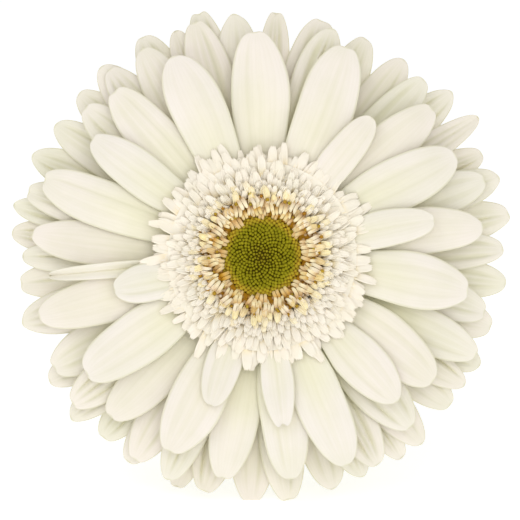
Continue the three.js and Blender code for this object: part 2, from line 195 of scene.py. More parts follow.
FIRST_DEEP_LEVEL = 4  # petals from this level back have deeper grooves and keels
FRONT_CREASES = (0.9, 0.7)  # depth of the grooves and of the keel, as shares of the setting
DEEP_CREASES = (3.6, 3.6)
GROOVE_SPREAD = 0.1  # how far a groove and a keel spread, as shares of the half width
KEEL_SPREAD = 0.09
NOTCH_SPREAD = 0.13  # how far the tip's notch spreads, as a share of the width
NARROW_WIDTH = 9.5  # a petal that is narrower has its edges folded up
NARROW_FOLD = 0.22

BLADE_STEPS = 30
ACROSS_STEPS = 20
SHARP_ANGLE = 70  # in degrees; faces that meet at more than this keep a crisp edge


# ---------------------------------------------------------------- gathering meshes


class Skin:
    """Points and faces of one mesh, gathered loft by loft, with a UV place and a tone per point."""

    def __init__(self):
        self.points = []
        self.faces = []
        self.places = []
        self.tones = []

    def loft(self, rings, places, tones):
        """Skins rings of equal length and caps both ends. places and tones follow the rings."""
        first = len(self.points)
        count = len(rings[0])
        for ring, place, tone in zip(rings, places, tones):
            self.points.extend(ring)
            self.places.extend(place)
            self.tones.extend(tone if isinstance(tone, list) else [tone] * count)
        for i in range(len(rings) - 1):
            here = first + i * count
            for j in range(count):
                k = (j + 1) % count
                self.faces.append((here + j, here + k, here + count + k, here + count + j))
        last = first + (len(rings) - 1) * count
        self.faces.append(tuple(range(first + count - 1, first - 1, -1)))
        self.faces.append(tuple(range(last, last + count)))

    def to_object(self, name, material, matrix):
        """A new object at the origin with the gathered mesh, its faces pointing outwards."""
        mesh = bpy.data.meshes.new(name)
        mesh.from_pydata([matrix @ point for point in self.points], [], self.faces)
        tone = mesh.color_attributes.new("tone", "FLOAT_COLOR", "POINT")
        tone.data.foreach_set("color", [v for t in self.tones for v in (*t, 0.0)[:4]])
        uv = mesh.uv_layers.new(name="surface")
        corners = np.empty(len(mesh.loops), dtype=int)
        mesh.loops.foreach_get("vertex_index", corners)
        uv.data.foreach_set("uv", np.array(self.places)[corners].ravel())
        mesh.polygons.foreach_set("use_smooth", [True] * len(mesh.polygons))
        work = bmesh.new()
        work.from_mesh(mesh)
        if work.calc_volume(signed=True) < 0:
            bmesh.ops.reverse_faces(work, faces=work.faces)
        work.to_mesh(mesh)
        work.free()
        mesh.set_sharp_from_angle(angle=math.radians(SHARP_ANGLE))
        mesh.materials.append(material)
        piece = bpy.data.objects.new(name, mesh)
        bpy.context.scene.collection.objects.link(piece)
        return piece


def hand_over(piece, slot, *nodes):
    """Rides the piece on the flower's one body in place of its CAD nodes."""
    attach(piece, "root")
    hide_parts(*nodes)


# ---------------------------------------------------------------- shader helpers


def add_node(tree, kind, inputs=None, **settings):
    """A node with its settings, and its inputs set or linked by name or number."""
    node = tree.nodes.new(kind)
    for key, value in settings.items():
        setattr(node, key, value)
    for key, value in (inputs or {}).items():
        if isinstance(value, bpy.types.NodeSocket):
            tree.links.new(value, node.inputs[key])
        else:
            node.inputs[key].default_value = value
    return node


def maths(tree, operation, *values):
    return add_node(tree, "ShaderNodeMath", dict(enumerate(values)), operation=operation).outputs[0]


def remap(tree, value, low, high, to_low=0.0, to_high=1.0, smooth=True):
    kind = "SMOOTHSTEP" if smooth else "LINEAR"
    values = {"Value": value, "From Min": low, "From Max": high, "To Min": to_low, "To Max": to_high}
    return add_node(tree, "ShaderNodeMapRange", values, interpolation_type=kind).outputs[0]


def mix_colours(tree, factor, a, b, blend="MIX"):
    node = add_node(tree, "ShaderNodeMix", data_type="RGBA", blend_type=blend)
    for index, value in ((0, factor), (6, a), (7, b)):
        if isinstance(value, bpy.types.NodeSocket):
            tree.links.new(value, node.inputs[index])
        elif index == 0:
            node.inputs[index].default_value = value
        else:
            node.inputs[index].default_value = (*value[:3], 1.0)
    return node.outputs[2]


def new_group(name, inputs, outputs, kind="ShaderNodeTree"):
    """A node group with its named sockets, and its input and output nodes."""
    tree = bpy.data.node_groups.new(name, kind)
    for label, socket, value in inputs:
        made = tree.interface.new_socket(name=label, in_out="INPUT", socket_type=socket)
        if value is not None:
            made.default_value = value
    for label, socket in outputs:
        tree.interface.new_socket(name=label, in_out="OUTPUT", socket_type=socket)
    return tree, tree.nodes.new("NodeGroupInput"), tree.nodes.new("NodeGroupOutput")


def veins_group():
    """Fine lengthwise veins of a petal or leaf, as a mask and a height, from its UV place."""
    inputs = [
        ("Place", "NodeSocketVector", None),
        ("Veins", "NodeSocketFloat", 24.0),
        ("Waver", "NodeSocketFloat", 0.6),
    ]
    outputs = [("Mask", "NodeSocketFloat"), ("Height", "NodeSocketFloat")]
    tree, given, result = new_group("Lengthwise veins", inputs, outputs)
    stretch = add_node(
        tree, "ShaderNodeVectorMath", {0: given.outputs["Place"], 1: (9.0, 2.2, 1.0)}, operation="MULTIPLY"
    )
    waver = add_node(tree, "ShaderNodeTexNoise", {"Vector": stretch.outputs[0], "Scale": 1.0, "Detail": 3.0})
    across = add_node(tree, "ShaderNodeSeparateXYZ", {0: given.outputs["Place"]}).outputs[0]
    turns = maths(tree, "MULTIPLY", across, given.outputs["Veins"])
    shift = maths(tree, "MULTIPLY", waver.outputs[0], given.outputs["Waver"])
    wave = maths(tree, "SINE", maths(tree, "MULTIPLY", maths(tree, "ADD", turns, shift), 2 * math.pi))
    ridge = remap(tree, wave, 0.1, 1.0)
    tree.links.new(ridge, result.inputs["Mask"])
    tree.links.new(maths(tree, "MULTIPLY_ADD", waver.outputs[0], 0.5, ridge), result.inputs["Height"])
    return tree


def mottle_group():
    """Soft cloudy change between two colours, with a finer grain as a height."""
    inputs = [
        ("Place", "NodeSocketVector", None),
        ("Scale", "NodeSocketFloat", 120.0),
        ("First", "NodeSocketColor", (1.0, 1.0, 1.0, 1.0)),
        ("Second", "NodeSocketColor", (0.8, 0.8, 0.8, 1.0)),
    ]
    outputs = [("Colour", "NodeSocketColor"), ("Mask", "NodeSocketFloat"), ("Grain", "NodeSocketFloat")]
    tree, given, result = new_group("Mottle", inputs, outputs)
    values = {"Vector": given.outputs["Place"], "Scale": given.outputs["Scale"], "Detail": 4.0}
    cloud = add_node(tree, "ShaderNodeTexNoise", values)
    values["Scale"] = maths(tree, "MULTIPLY", given.outputs["Scale"], 14.0)
    grain = add_node(tree, "ShaderNodeTexNoise", values)
    mask = remap(tree, cloud.outputs[0], 0.32, 0.68)
    colour = mix_colours(tree, mask, given.outputs["First"], given.outputs["Second"])
    tree.links.new(colour, result.inputs["Colour"])
    tree.links.new(mask, result.inputs["Mask"])
    tree.links.new(grain.outputs[0], result.inputs["Grain"])
    return tree


def shared_group(name):
    """One of the shared effects, built the first time that it is asked for."""
    makers = {"Lengthwise veins": veins_group, "Mottle": mottle_group}
    return bpy.data.node_groups.get(name) or makers[name]()


def use_group(tree, name, inputs):
    node = tree.nodes.new("ShaderNodeGroup")
    node.node_tree = shared_group(name)
    for key, value in inputs.items():
        if isinstance(value, bpy.types.NodeSocket):
            tree.links.new(value, node.inputs[key])
        elif isinstance(value, tuple):
            node.inputs[key].default_value = (*value[:3], 1.0)
        else:
            node.inputs[key].default_value = value
    return node


def new_material(name, roughness, subsurface=0.0, sheen=0.0, specular=0.35, scatter=0.8):
    """A material with its Principled shader's constant values set. scatter is in millimetres."""
    material = bpy.data.materials.new(name)
    material.use_nodes = True
    tree = material.node_tree
    shader = tree.nodes["Principled BSDF"]
    shader.inputs["Roughness"].default_value = roughness
    shader.inputs["Specular IOR Level"].default_value = specular
    shader.inputs["Subsurface Weight"].default_value = subsurface
    shader.inputs["Subsurface Radius"].default_value = (1.0, 1.0, 1.0)
    shader.inputs["Subsurface Scale"].default_value = scatter * MM
    shader.inputs["Sheen Weight"].default_value = sheen
    return material, tree, shader


def set_bump(tree, shader, height, strength, distance):
    """Feeds a height into the shader's normal. distance is in millimetres."""
    values = {"Height": height, "Strength": strength, "Distance": distance * MM}
    bump = add_node(tree, "ShaderNodeBump", values)
    tree.links.new(bump.outputs["Normal"], shader.inputs["Normal"])


def tone_channels(tree):
    """The piece's own tone attribute as four values."""
    tone = add_node(tree, "ShaderNodeAttribute", attribute_name="tone")
    split = add_node(tree, "ShaderNodeSeparateColor", {0: tone.outputs["Color"]}).outputs
    return (*split[:3], tone.outputs["Alpha"])


def stored_value(tree, name):
    """A value that the scattered florets carry under a name."""
    return add_node(tree, "ShaderNodeAttribute", attribute_name=name).outputs["Fac"]


def own_place(tree):
    """The place on the piece, in the piece's own axes."""
    return add_node(tree, "ShaderNodeTexCoord").outputs["Object"]


def strip_place(tree):
    """The place across and along a petal or strap."""
    return add_node(tree, "ShaderNodeUVMap", uv_map="surface").outputs[0]


def set_clouded(tree, shader, colour, cloud):
    """Feeds a colour into the shader, multiplied by the cloudiness."""
    clouded = mix_colours(tree, 1.0, colour, cloud.outputs["Colour"], "MULTIPLY")
    tree.links.new(clouded, shader.inputs["Base Color"])


# ---------------------------------------------------------------- materials


def petal_material(name):
    """Satin petal: paler towards the tip, with fine veins and a slight cloudiness."""
    if name in bpy.data.materials:
        return bpy.data.materials[name]
    settings = bpy.context.scene.gerbera_petals
    material, tree, shader = new_material(name, 0.5, subsurface=0.12, specular=0.2)
    along, own, depth, crease = tone_channels(tree)
    place = strip_place(tree)
    where = own_place(tree)
    veins = use_group(tree, "Lengthwise veins", {"Place": place, "Veins": 11.0, "Waver": 2.2})
    across, ahead = add_node(tree, "ShaderNodeSeparateXYZ", {0: place}).outputs[:2]
    side = maths(tree, "ABSOLUTE", maths(tree, "MULTIPLY_ADD", across, 2.0, -1.0))
    paler = maths(tree, "MULTIPLY_ADD", side, 0.35, along)
    root, tip = tuple(settings.root_colour), tuple(settings.tip_colour)
    length = mix_colours(tree, remap(tree, paler, 0.1, 1.0), root, tip)
    # Painted shade: towards their roots the deeper petals, which show only in the shaded gaps between the
    # front ones, take a warm khaki that stands for the colour of the shade there.
    gap_shade_mask = maths(tree, "MULTIPLY", remap(tree, along, 0.8, 0.3), remap(tree, depth, 0.0, 0.6))
    gap_shaded = mix_colours(tree, gap_shade_mask, length, tuple(settings.gap_shade_colour))
    # Deeper petals are tinted yellow-green. This is partly their own greener colour and partly painted shade
    # for their place behind the front ones.
    rear = mix_colours(tree, maths(tree, "MULTIPLY", depth, 0.4), gap_shaded, tuple(settings.rear_and_shade_tint))
    warm = mix_colours(tree, maths(tree, "MULTIPLY", own, 0.7), rear, tuple(settings.warm_tint))
    cloud = use_group(
        tree, "Mottle",
        {"Place": where, "Scale": 75.0, "First": (1, 0.99, 0.985), "Second": (0.95, 0.955, 0.9)},
    )
    mottled = mix_colours(tree, 1.0, warm, cloud.outputs["Colour"], "MULTIPLY")
    shade = maths(tree, "MULTIPLY", veins.outputs["Mask"], settings.vein_shade)
    veined = mix_colours(tree, shade, mottled, tuple(settings.vein_colour), "MULTIPLY")
    # Painted shade: thin darker lines along the margins and the tip, and in the grooves and keel, stand in
    # for the shade that falls at edges and in creases.
    edge_shade_mask = maths(tree, "MAXIMUM", remap(tree, side, 0.88, 1.0), remap(tree, ahead, 0.985, 1.0))
    shade_lines = maths(tree, "MAXIMUM", edge_shade_mask, crease)
    edge_shaded = mix_colours(
        tree, maths(tree, "MULTIPLY", shade_lines, settings.edge_shade), veined, tuple(settings.edge_colour)
    )
    tree.links.new(edge_shaded, shader.inputs["Base Color"])
    gloss = remap(tree, cloud.outputs["Grain"], 0.3, 0.7, 0.45, 0.6)
    tree.links.new(gloss, shader.inputs["Roughness"])
    height = maths(tree, "MULTIPLY_ADD", cloud.outputs["Grain"], 0.35, veins.outputs["Height"])
    set_bump(tree, shader, height, 0.12, 0.05)
    return material


def strap_material():
    """Thin white straps of the trans florets, a little warmer and darker at their feet with painted shade,
    where the straps crowd and shade each other.
    """
    settings = bpy.context.scene.gerbera_centre
    material, tree, shader = new_material("strap_white", 0.6, specular=0.1)
    along = tone_channels(tree)[0]
    pick = stored_value(tree, "pick")
    place = strip_place(tree)
    where = own_place(tree)
    veins = use_group(tree, "Lengthwise veins", {"Place": place, "Veins": 4.0, "Waver": 0.5})
    # Painted shade: towards their feet, where the straps crowd and shade each other, they turn warmer and
    # darker.
    foot, tip = tuple(settings.strap_foot_shade_colour), tuple(settings.strap_colour)
    length = mix_colours(tree, remap(tree, along, 0.1, 0.6), foot, tip)
    blush = mix_colours(tree, maths(tree, "MULTIPLY", pick, 0.35), length, tuple(settings.blush_colour))
    cloud = use_group(
        tree, "Mottle", {"Place": where, "Scale": 300.0, "First": (1, 1, 1), "Second": (0.965, 0.965, 0.93)}
    )
    set_clouded(tree, shader, blush, cloud)
    height = maths(tree, "MULTIPLY_ADD", cloud.outputs["Grain"], 0.4, veins.outputs["Height"])
    set_bump(tree, shader, height, 0.12, 0.06)
    return material


def open_floret_material():
    """Disc florets: tan tubes, white curled lips and amber anthers, told apart by the tone."""
    settings = bpy.context.scene.gerbera_centre
    material, tree, shader = new_material("open_floret", 0.55, specular=0.12)
    lip, anther = tone_channels(tree)[:2]
    pick = stored_value(tree, "pick")
    where = own_place(tree)
    tube, white = tuple(settings.tube_colour), tuple(settings.lip_colour)
    ring = stored_value(tree, "ring")
    body = mix_colours(tree, remap(tree, lip, 0.15, 0.95), tube, white)
    deep = mix_colours(tree, remap(tree, ring, 0.5, 0.0, 0.0, 0.65), body, tube)
    pale = mix_colours(tree, remap(tree, ring, 0.35, 1.0, 0.0, 0.6), deep, tuple(settings.strap_colour))
    blush = mix_colours(tree, maths(tree, "MULTIPLY", pick, 0.3), pale, tuple(settings.blush_colour))
    amber = mix_colours(tree, pick, tuple(settings.anther_colour), tuple(settings.pollen_colour))
    coloured = mix_colours(tree, remap(tree, anther, 0.3, 0.6), blush, amber)
    cloud = use_group(
        tree, "Mottle", {"Place": where, "Scale": 500.0, "First": (1, 1, 1), "Second": (0.86, 0.84, 0.78)}
    )
    set_clouded(tree, shader, coloured, cloud)
    set_bump(tree, shader, cloud.outputs["Grain"], 0.4, 0.08)
    return material


def bud_material():
    """Closed buds: olive green, brownish in the middle of the eye and tan at its rim."""
    settings = bpy.context.scene.gerbera_centre
    material, tree, shader = new_material("eye_buds", 0.6, specular=0.03)
    top = tone_channels(tree)[0]
    ring = stored_value(tree, "ring")
    pick = stored_value(tree, "pick")
    where = own_place(tree)
    green = mix_colours(tree, pick, tuple(settings.bud_colour), tuple(settings.bud_light_colour))
    heart = mix_colours(tree, remap(tree, ring, 0.32, 0.05), green, tuple(settings.heart_colour))
    rim = mix_colours(tree, remap(tree, ring, 0.76, 0.93), heart, tuple(settings.rim_colour))
    # Painted light: each bud turns lighter towards its tip as a painted highlight, and darker towards its
    # foot as painted shade.
    tips = mix_colours(tree, remap(tree, top, 0.35, 0.95, 0.0, 0.6), rim, tuple(settings.bud_highlight_colour))
    shaded = mix_colours(tree, remap(tree, top, 0.5, 0.0, 0.0, 0.85), tips, tuple(settings.bud_foot_shade_colour))
    cloud = use_group(
        tree, "Mottle", {"Place": where, "Scale": 700.0, "First": (1, 1, 1), "Second": (0.8, 0.82, 0.7)}
    )
    set_clouded(tree, shader, shaded, cloud)
    set_bump(tree, shader, cloud.outputs["Grain"], 0.5, 0.08)
    return material


def leafy_material(name, light, dark, edge, stretch):
    """Green stem and bracts: fibres drawn out along the piece, with paler, downy high spots."""
    if name in bpy.data.materials:
        return bpy.data.materials[name]
    material, tree, shader = new_material(name, 0.6, subsurface=0.08, sheen=0.2, specular=0.35)
    along = tone_channels(tree)[0]
    where = own_place(tree)
    drawn = add_node(tree, "ShaderNodeMapping", {"Vector": where, "Scale": stretch}).outputs[0]
    fibres = add_node(tree, "ShaderNodeTexNoise", {"Vector": drawn, "Scale": 900.0, "Detail": 3.0})
    cloud = use_group(
        tree, "Mottle", {"Place": where, "Scale": 90.0, "First": tuple(light), "Second": tuple(dark)}
    )
    striped = mix_colours(
        tree, remap(tree, fibres.outputs[0], 0.4, 0.65, 0.0, 0.35), cloud.outputs["Colour"], tuple(edge)
    )
    ended = mix_colours(tree, remap(tree, along, 0.6, 1.0, 0.0, 0.5), striped, tuple(edge))
    tree.links.new(ended, shader.inputs["Base Color"])
    gloss = remap(tree, cloud.outputs["Mask"], 0.0, 1.0, 0.5, 0.68)
    tree.links.new(gloss, shader.inputs["Roughness"])
    height = maths(tree, "MULTIPLY_ADD", cloud.outputs["Grain"], 0.5, fibres.outputs[0])
    set_bump(tree, shader, height, 0.5, 0.12)
    return material


def cut_material():
    """The stem's cut end: wet pale pith inside a greener rim."""
    material, tree, shader = new_material("stem_cut", 0.35, subsurface=0.2, specular=0.5)
    rim = tone_channels(tree)[0]
    where = own_place(tree)
    cells = add_node(tree, "ShaderNodeTexVoronoi", {"Vector": where, "Scale": 2600.0})
    pith = mix_colours(tree, remap(tree, cells.outputs[0], 0.1, 0.6), (0.72, 0.75, 0.5), (0.5, 0.56, 0.3))
    ringed = mix_colours(tree, remap(tree, rim, 0.55, 0.95), pith, (0.22, 0.32, 0.08))
    tree.links.new(ringed, shader.inputs["Base Color"])
    set_bump(tree, shader, cells.outputs[0], 0.5, 0.1)
    return material


# ---------------------------------------------------------------- petals


def level_height(level):
    return -LEVEL_STEP * level


def claw_radius(level):
    return CLAW_RADIUS + CLAW_STEP * level


def claw_foot(level):
    return level_height(level) - CLAW_BEND - CLAW_LENGTH


def arch_height(radius):
    """Height of the arch that every petal follows, at a distance from the head's axis."""
    x = max(0.0, radius - BLADE_START) / (REAR_SIZE[0] - BLADE_START)
    return PETAL_RISE * x - PETAL_DROOP * x * x


def blade_shape(t):
    """Share of a blade's full width, from its root at 0 to its tip at 1."""
    if t > PETAL_WIDEST:
        u = (t - PETAL_WIDEST) / (1 - PETAL_WIDEST)
        return math.sqrt(max(0.0, 1 - u**PETAL_BLUNTNESS))
    return lerp(PETAL_ROOT, 1, smoothstep(-0.15, PETAL_WIDEST, t))


def blade_middle(t):
    """1 along the middle of a blade, falling to 0 at its root and its tip."""
    return smoothstep(0.0, 0.25, t) * (1 - smoothstep(0.82, 1.0, t))


def free_angle(row):
    """Angle to either side that a petal may fill without meeting another of its own level."""
    free = 45.0
    for other in ALL_PETALS:
        if other != row and other[4] == row[4]:
            between = abs((other[0] - row[0] + 180) % 360 - 180)
            free = min(free, (between - abs(other[3] - row[3])) / 2)
    return math.radians(free)


class Petal:
    """One petal's sizes and its own small irregularities."""

    def __init__(self, row, size, settings):
        self.angle = math.radians(row[0])
        self.reach = size[0] + row[1]
        self.width = size[1] + row[2]
        self.lean = math.radians(row[3])
        self.level = row[4]
        self.spread = math.tan(free_angle(row))
        self.start = claw_radius(self.level) + CLAW_BEND
        self.settings = settings
        chance = random.Random(round(row[0] * 10) + 1000 * self.level)
        self.own = chance.random()
        self.phase = chance.uniform(0, 2 * math.pi)
        self.notch = chance.uniform(0.0, 1.0) ** 2 * settings.tip_notch
        self.twist = math.radians(chance.uniform(-1, 1) * 2.5)
        self.groove_side = chance.uniform(0.28, 0.44)
        groove, keel = FRONT_CREASES if self.level < FIRST_DEEP_LEVEL else DEEP_CREASES
        self.groove = settings.groove_depth * chance.uniform(0.5, 1.3) * groove
        self.groove_shares = (chance.uniform(0.2, 1.2), chance.uniform(0.2, 1.2))
        self.keel = settings.groove_depth * chance.uniform(0.0, 1.0) * keel
        self.crimp = chance.uniform(0.0, 1.0) * settings.tip_crimp
        self.bend = chance.uniform(-1.0, 0.5) * settings.tip_bend
        self.waver = [(chance.uniform(2, 4), chance.uniform(0, 2 * math.pi)) for _ in range(2)]
        self.fold = max(0.0, NARROW_WIDTH - self.width) * NARROW_FOLD

    def wide(self, t):
        """Full width at a station, kept clear of the neighbours of the same level."""
        distance = lerp(self.start, self.reach, t)
        room = 2 * distance * self.spread - GAP
        return min(max(CLAW_WIDTH * (1 - smoothstep(0.8, 1, t)), blade_shape(t) * self.width), room)

    def crease(self, t, v):
        """Depth of the lengthwise grooves and of the keel between them, in millimetres."""
        middle = blade_middle(t)
        depth = self.keel * math.exp(-((v / KEEL_SPREAD) ** 2))
        for side, share in zip((-self.groove_side, self.groove_side), self.groove_shares):
            depth += share * self.groove * math.exp(-(((v - side) / GROOVE_SPREAD) ** 2))
        return depth * middle

    def lift(self, t, v):
        """Height of the blade's middle surface above its arch, at v across from -1 to 1."""
        fullness = (self.wide(t) / self.width) ** 2
        middle = blade_middle(t)
        height = -PETAL_CAMBER * v * v * fullness - self.crease(t, v)
        height += 0.45 * v * v * (1 - smoothstep(0.0, 0.4, t))
        height += self.settings.ripple * math.sin(7 * t + self.phase) * v * middle
        height += self.fold * (abs(v) - 0.4) * smoothstep(0.1, 0.5, t)
        height += math.tan(self.twist) * v * self.wide(t) / 2 * smoothstep(0.2, 0.8, t)
        height += self.bend * smoothstep(0.7, 1.0, t) ** 2
        return height

    def pull(self, t, across):
        """How far the tip is drawn back, across millimetres from the petal's middle line."""
        share = across / self.width
        lobes = self.crimp * math.sin(2 * math.pi * 2.6 * share + self.phase)
        notch = self.notch * math.exp(-((share / NOTCH_SPREAD) ** 2))
        return (notch + lobes) * smoothstep(0.86, 1.0, t)

    def side_share(self, t, v):
        """How much fuller or slimmer than usual the blade's left or right side is at a station."""
        turns, phase = self.waver[0 if v < 0 else 1]
        return 1 + 0.035 * math.sin(turns * math.pi * t + phase) * smoothstep(0.1, 0.5, t)

    def ring(self, angle, place, normal, width, thickness, lift, t=0.0):
        """A closed section: the upper side from left to right, then the underside back."""
        side = polar(1, angle + math.pi / 2, 0)
        points = []
        for step, v in enumerate(self.stations()):
            skin = thickness / 2 * math.sqrt(max(0.0, 1 - v**4)) * (1 if step <= ACROSS_STEPS else -1)
            height = lift(v) + skin
            across = v * width / 2 * self.side_share(t, v)
            radius = place[0] + normal[0] * height - self.pull(t, across)
            points.append(polar(radius, angle, place[1] + normal[1] * height) + side * across)
        return points

    def stations(self):
        """Places across a section, from -1 to 1 and back, closer together towards the edges."""
        steps = list(range(ACROSS_STEPS + 1)) + list(range(ACROSS_STEPS - 1, 0, -1))
        return [math.sin(math.pi * (step / ACROSS_STEPS - 0.5)) for step in steps]

    def add_to(self, skin):
        root = claw_radius(self.level)
        top = level_height(self.level) - CLAW_BEND
        thickness = self.settings.thickness / MM
        claw_thickness = thickness * 0.8
        flat = lambda v: 0.0
        rings = []
        for height in (claw_foot(self.level) + GAP, top):
            rings.append(self.ring(self.angle, (root, height), (-1, 0), CLAW_WIDTH, claw_thickness, flat))
        for turn in (math.pi / 6, math.pi / 3):
            place = (root + CLAW_BEND * (1 - math.cos(turn)), top + CLAW_BEND * math.sin(turn))
            normal = (-math.cos(turn), math.sin(turn))
            rings.append(self.ring(self.angle, place, normal, CLAW_WIDTH, claw_thickness, flat))
        shares = [0.0] * len(rings)
        for step in range(BLADE_STEPS + 1):
            t = math.sin(math.pi / 2 * step / BLADE_STEPS)
            distance = lerp(self.start, self.reach, t)
            place = (distance, level_height(self.level) + arch_height(distance))
            angle = self.angle + self.lean * t * t
            thin = lerp(claw_thickness, thickness, smoothstep(0, 0.3, t)) * (1 - 0.6 * smoothstep(0.85, 1, t))
            width = max(self.wide(t), 0.3)
            rings.append(self.ring(angle, place, (0, 1), width, thin, lambda v, t=t: self.lift(t, v), t))
            shares.append(t)
        depth = self.level / LAST_LEVEL
        across = self.stations()
        places = [[(0.5 + 0.5 * v, t) for v in across] for t in shares]
        # The fourth tone is the crease depth, which drives the painted shade in the grooves.
        tones = [[(t, self.own, depth, min(1.0, 2.5 * self.crease(t, v))) for v in across] for t in shares]
        skin.loft(rings, places, tones)


def build_whorl(name, rows, size, material, slot):
    """Each petal of a whorl as its own piece in place of its CAD node."""
    settings = bpy.context.scene.gerbera_petals
    for i, row in enumerate(rows, 1):
        skin = Skin()
        Petal(row, size, settings).add_to(skin)
        piece = skin.to_object(f"{name}_{i:02d}_blade", material, HEAD_MM)
        hand_over(piece, slot, f"{name}_{i:02d}")


def add_fan_foot(skin, rows):
    """The wedge of flesh that four rear petals share, as in the CAD."""
    levels = [row[4] for row in rows]
    front, back = min(levels), max(levels)
    span = (rows[-1][0] - rows[0][0]) % 360 + 2 * FAN_FOOT_MARGIN
    inner = claw_radius(front)
    outer = claw_radius(back) + FAN_FOOT_WIDTH
    high = level_height(back) - CLAW_BEND
    rings = []
    for i in range(FAN_FOOT_STEPS + 1):
        angle = math.radians(rows[0][0] - FAN_FOOT_MARGIN + span * i / FAN_FOOT_STEPS)
        rings.append([
            polar(inner, angle, claw_foot(front) + GAP),
            polar(outer, angle, claw_foot(back) + GAP),
            polar(outer, angle, high),
            polar(inner, angle, high),
        ])
    skin.loft(rings, [[(0.5, 0.0)] * 4] * len(rings), [(0.0, 0.5, 1.0)] * len(rings))


# ---------------------------------------------------------------- straps and florets

# Half sections of a strap, as place across and height of a lengthwise fold there.
FLAT_FOLDS = ((-1, 0), (-0.5, 0), (0, 0), (0.5, 0), (1, 0))
KEELED = ((-1, 0.3), (-0.6, 0), (-0.2, -0.2), (0, -1), (0.2, -0.2), (0.6, 0), (1, 0.3))
FRILLED = ((-1, -0.6), (-0.75, 1), (-0.4, -0.8), (0, 1), (0.4, -0.8), (0.75, 1), (1, -0.6))


def add_strap(
    skin, path, widths, thickness, cup, tones, centre=0.0, folds=FLAT_FOLDS, fold=0.0, teeth=0.0
):
    """A thin strap along a path of (outward, height) points, cupped across by cup millimetres."""
    section = [(across, lift, 1) for across, lift in folds]
    section += [(across, lift, -1) for across, lift in reversed(folds[1:-1])]
    rings = []
    places = []
    for i, (out, height) in enumerate(path):
        before = path[max(0, i - 1)]
        after = path[min(len(path) - 1, i + 1)]
        run = Vector((after[0] - before[0], after[1] - before[1])).normalized()
        share = widths[i] / max(widths)
        ring = []
        for across, lift, side in section:
            skin_lift = 0 if abs(across) == 1 else side * thickness / 2
            rise = skin_lift + (cup * (across * across - 0.4) + fold * lift) * share
            ahead = teeth * lift if i == len(path) - 1 else 0.0
            rise -= 0.7 * skin_lift if i == len(path) - 1 else 0.0
            ring.append(Vector((
                centre + across * widths[i] / 2,
                out - run.y * rise + run.x * ahead,
                height + run.x * rise + run.y * ahead,
            )))
        rings.append(ring)
        places.append([(0.5 + 0.5 * across, i / (len(path) - 1)) for across, _, _ in section])
    skin.loft(rings, places, tones)


def add_tube(skin, rings_at, sides, tones, lean=0.0):
    """A closed tube about the floret's axis, from (radius, height) pairs."""
    rings = []
    for radius, height in rings_at:
        ring = []
        for j in range(sides):
            angle = -2 * math.pi * j / sides
            ring.append(Vector((radius * math.sin(angle), radius * math.cos(angle) + lean * height, height)))
        rings.append(ring)
    skin.loft(rings, [[(0.5, 0.5)] * sides] * len(rings), tones)


def curl(start, turn_from, turn_to, radius, steps):
    """Points of a path that curls from one direction to another; directions are from outwards up."""
    points = [start]
    for i in range(steps):
        direction = lerp(turn_from, turn_to, (i + 0.5) / steps)
        length = abs(turn_to - turn_from) * radius / steps
        last = points[-1]
        points.append((last[0] + math.cos(direction) * length, last[1] + math.sin(direction) * length))
    return points


def trans_floret(length, width, rise, fall):
    """A white strap with a toothed tip that arches from rise degrees above outwards to fall."""
    skin = Skin()
    rise, fall = math.radians(rise), math.radians(fall)
    path = curl((0.0, 0.0), rise, fall, length / (rise - fall), 8)
    shares = (0.6, 0.75, 0.88, 0.96, 1.0, 1.0, 0.95, 0.82, 0.55)
    tones = [(i / 8, 0.0, 0.0) for i in range(9)]
    widths = [width * share for share in shares]
    add_strap(skin, path, widths, 0.1, 0.12, tones, folds=FRILLED, fold=0.1, teeth=0.2)
    return skin.to_object("trans_floret", None, TO_METRES)


def open_floret():
    """A disc floret: tan tube, two broad lips curled inwards, a pale outer lip and dark anthers."""
    skin = Skin()
    tube_tones = [(0.0, 0, 0), (0.05, 0, 0), (0.25, 0, 0), (0.15, 0, 0)]
    add_tube(skin, [(0.34, -0.6), (0.42, 1.0), (0.66, 2.3), (0.6, 2.4)], 9, tube_tones)
    outer = curl((0.55, 2.0), math.radians(72), math.radians(-12), 2.1, 6)
    outer_tones = [(min(1.0, 0.5 + i * 0.25), 0, 0) for i in range(7)]
    outer_widths = (0.9, 1.15, 1.35, 1.45, 1.4, 1.2, 0.8)
    add_strap(skin, outer, outer_widths, 0.14, 0.25, outer_tones, folds=FRILLED, fold=0.1, teeth=0.2)
    for side in (-0.44, 0.44):
        inner = curl((0.2, 2.0), math.radians(105), math.radians(255), 1.25, 10)
        inner_tones = [(min(1.0, max(0.0, i * 0.13 - 0.1)), 0, 0) for i in range(11)]
        inner_widths = (0.5, 0.58, 0.66, 0.72, 0.76, 0.78, 0.76, 0.72, 0.64, 0.5, 0.28)
        add_strap(skin, inner, inner_widths, 0.18, -0.24, inner_tones, side)
    anther_tones = [(0, 1, 0)] * 4
    add_tube(skin, [(0.3, 1.7), (0.4, 2.4), (0.36, 2.9), (0.14, 3.1)], 7, anther_tones, 0.16)
    return skin.to_object("open_floret", None, TO_METRES)


def closed_bud(top_light=1.0):
    """One closed bud, egg-shaped, with its tone rising from its foot to its tip; the tone carries painted
    shade at the foot and painted highlight at the tip.
    """
    skin = Skin()
    outline = [(0.36, -0.6), (0.46, -0.1), (0.47, 0.2), (0.38, 0.5), (0.16, 0.68)]
    tones = [(i / 4 * top_light, 0, 0) for i in range(5)]
    add_tube(skin, outline, 7, tones)
    return skin.to_object("closed_bud", None, TO_METRES)


EYE_RADIUS = 8.7
EYE_BULGE = 1.3  # height of the eye's rounded shoulder
EYE_STEPS = 12

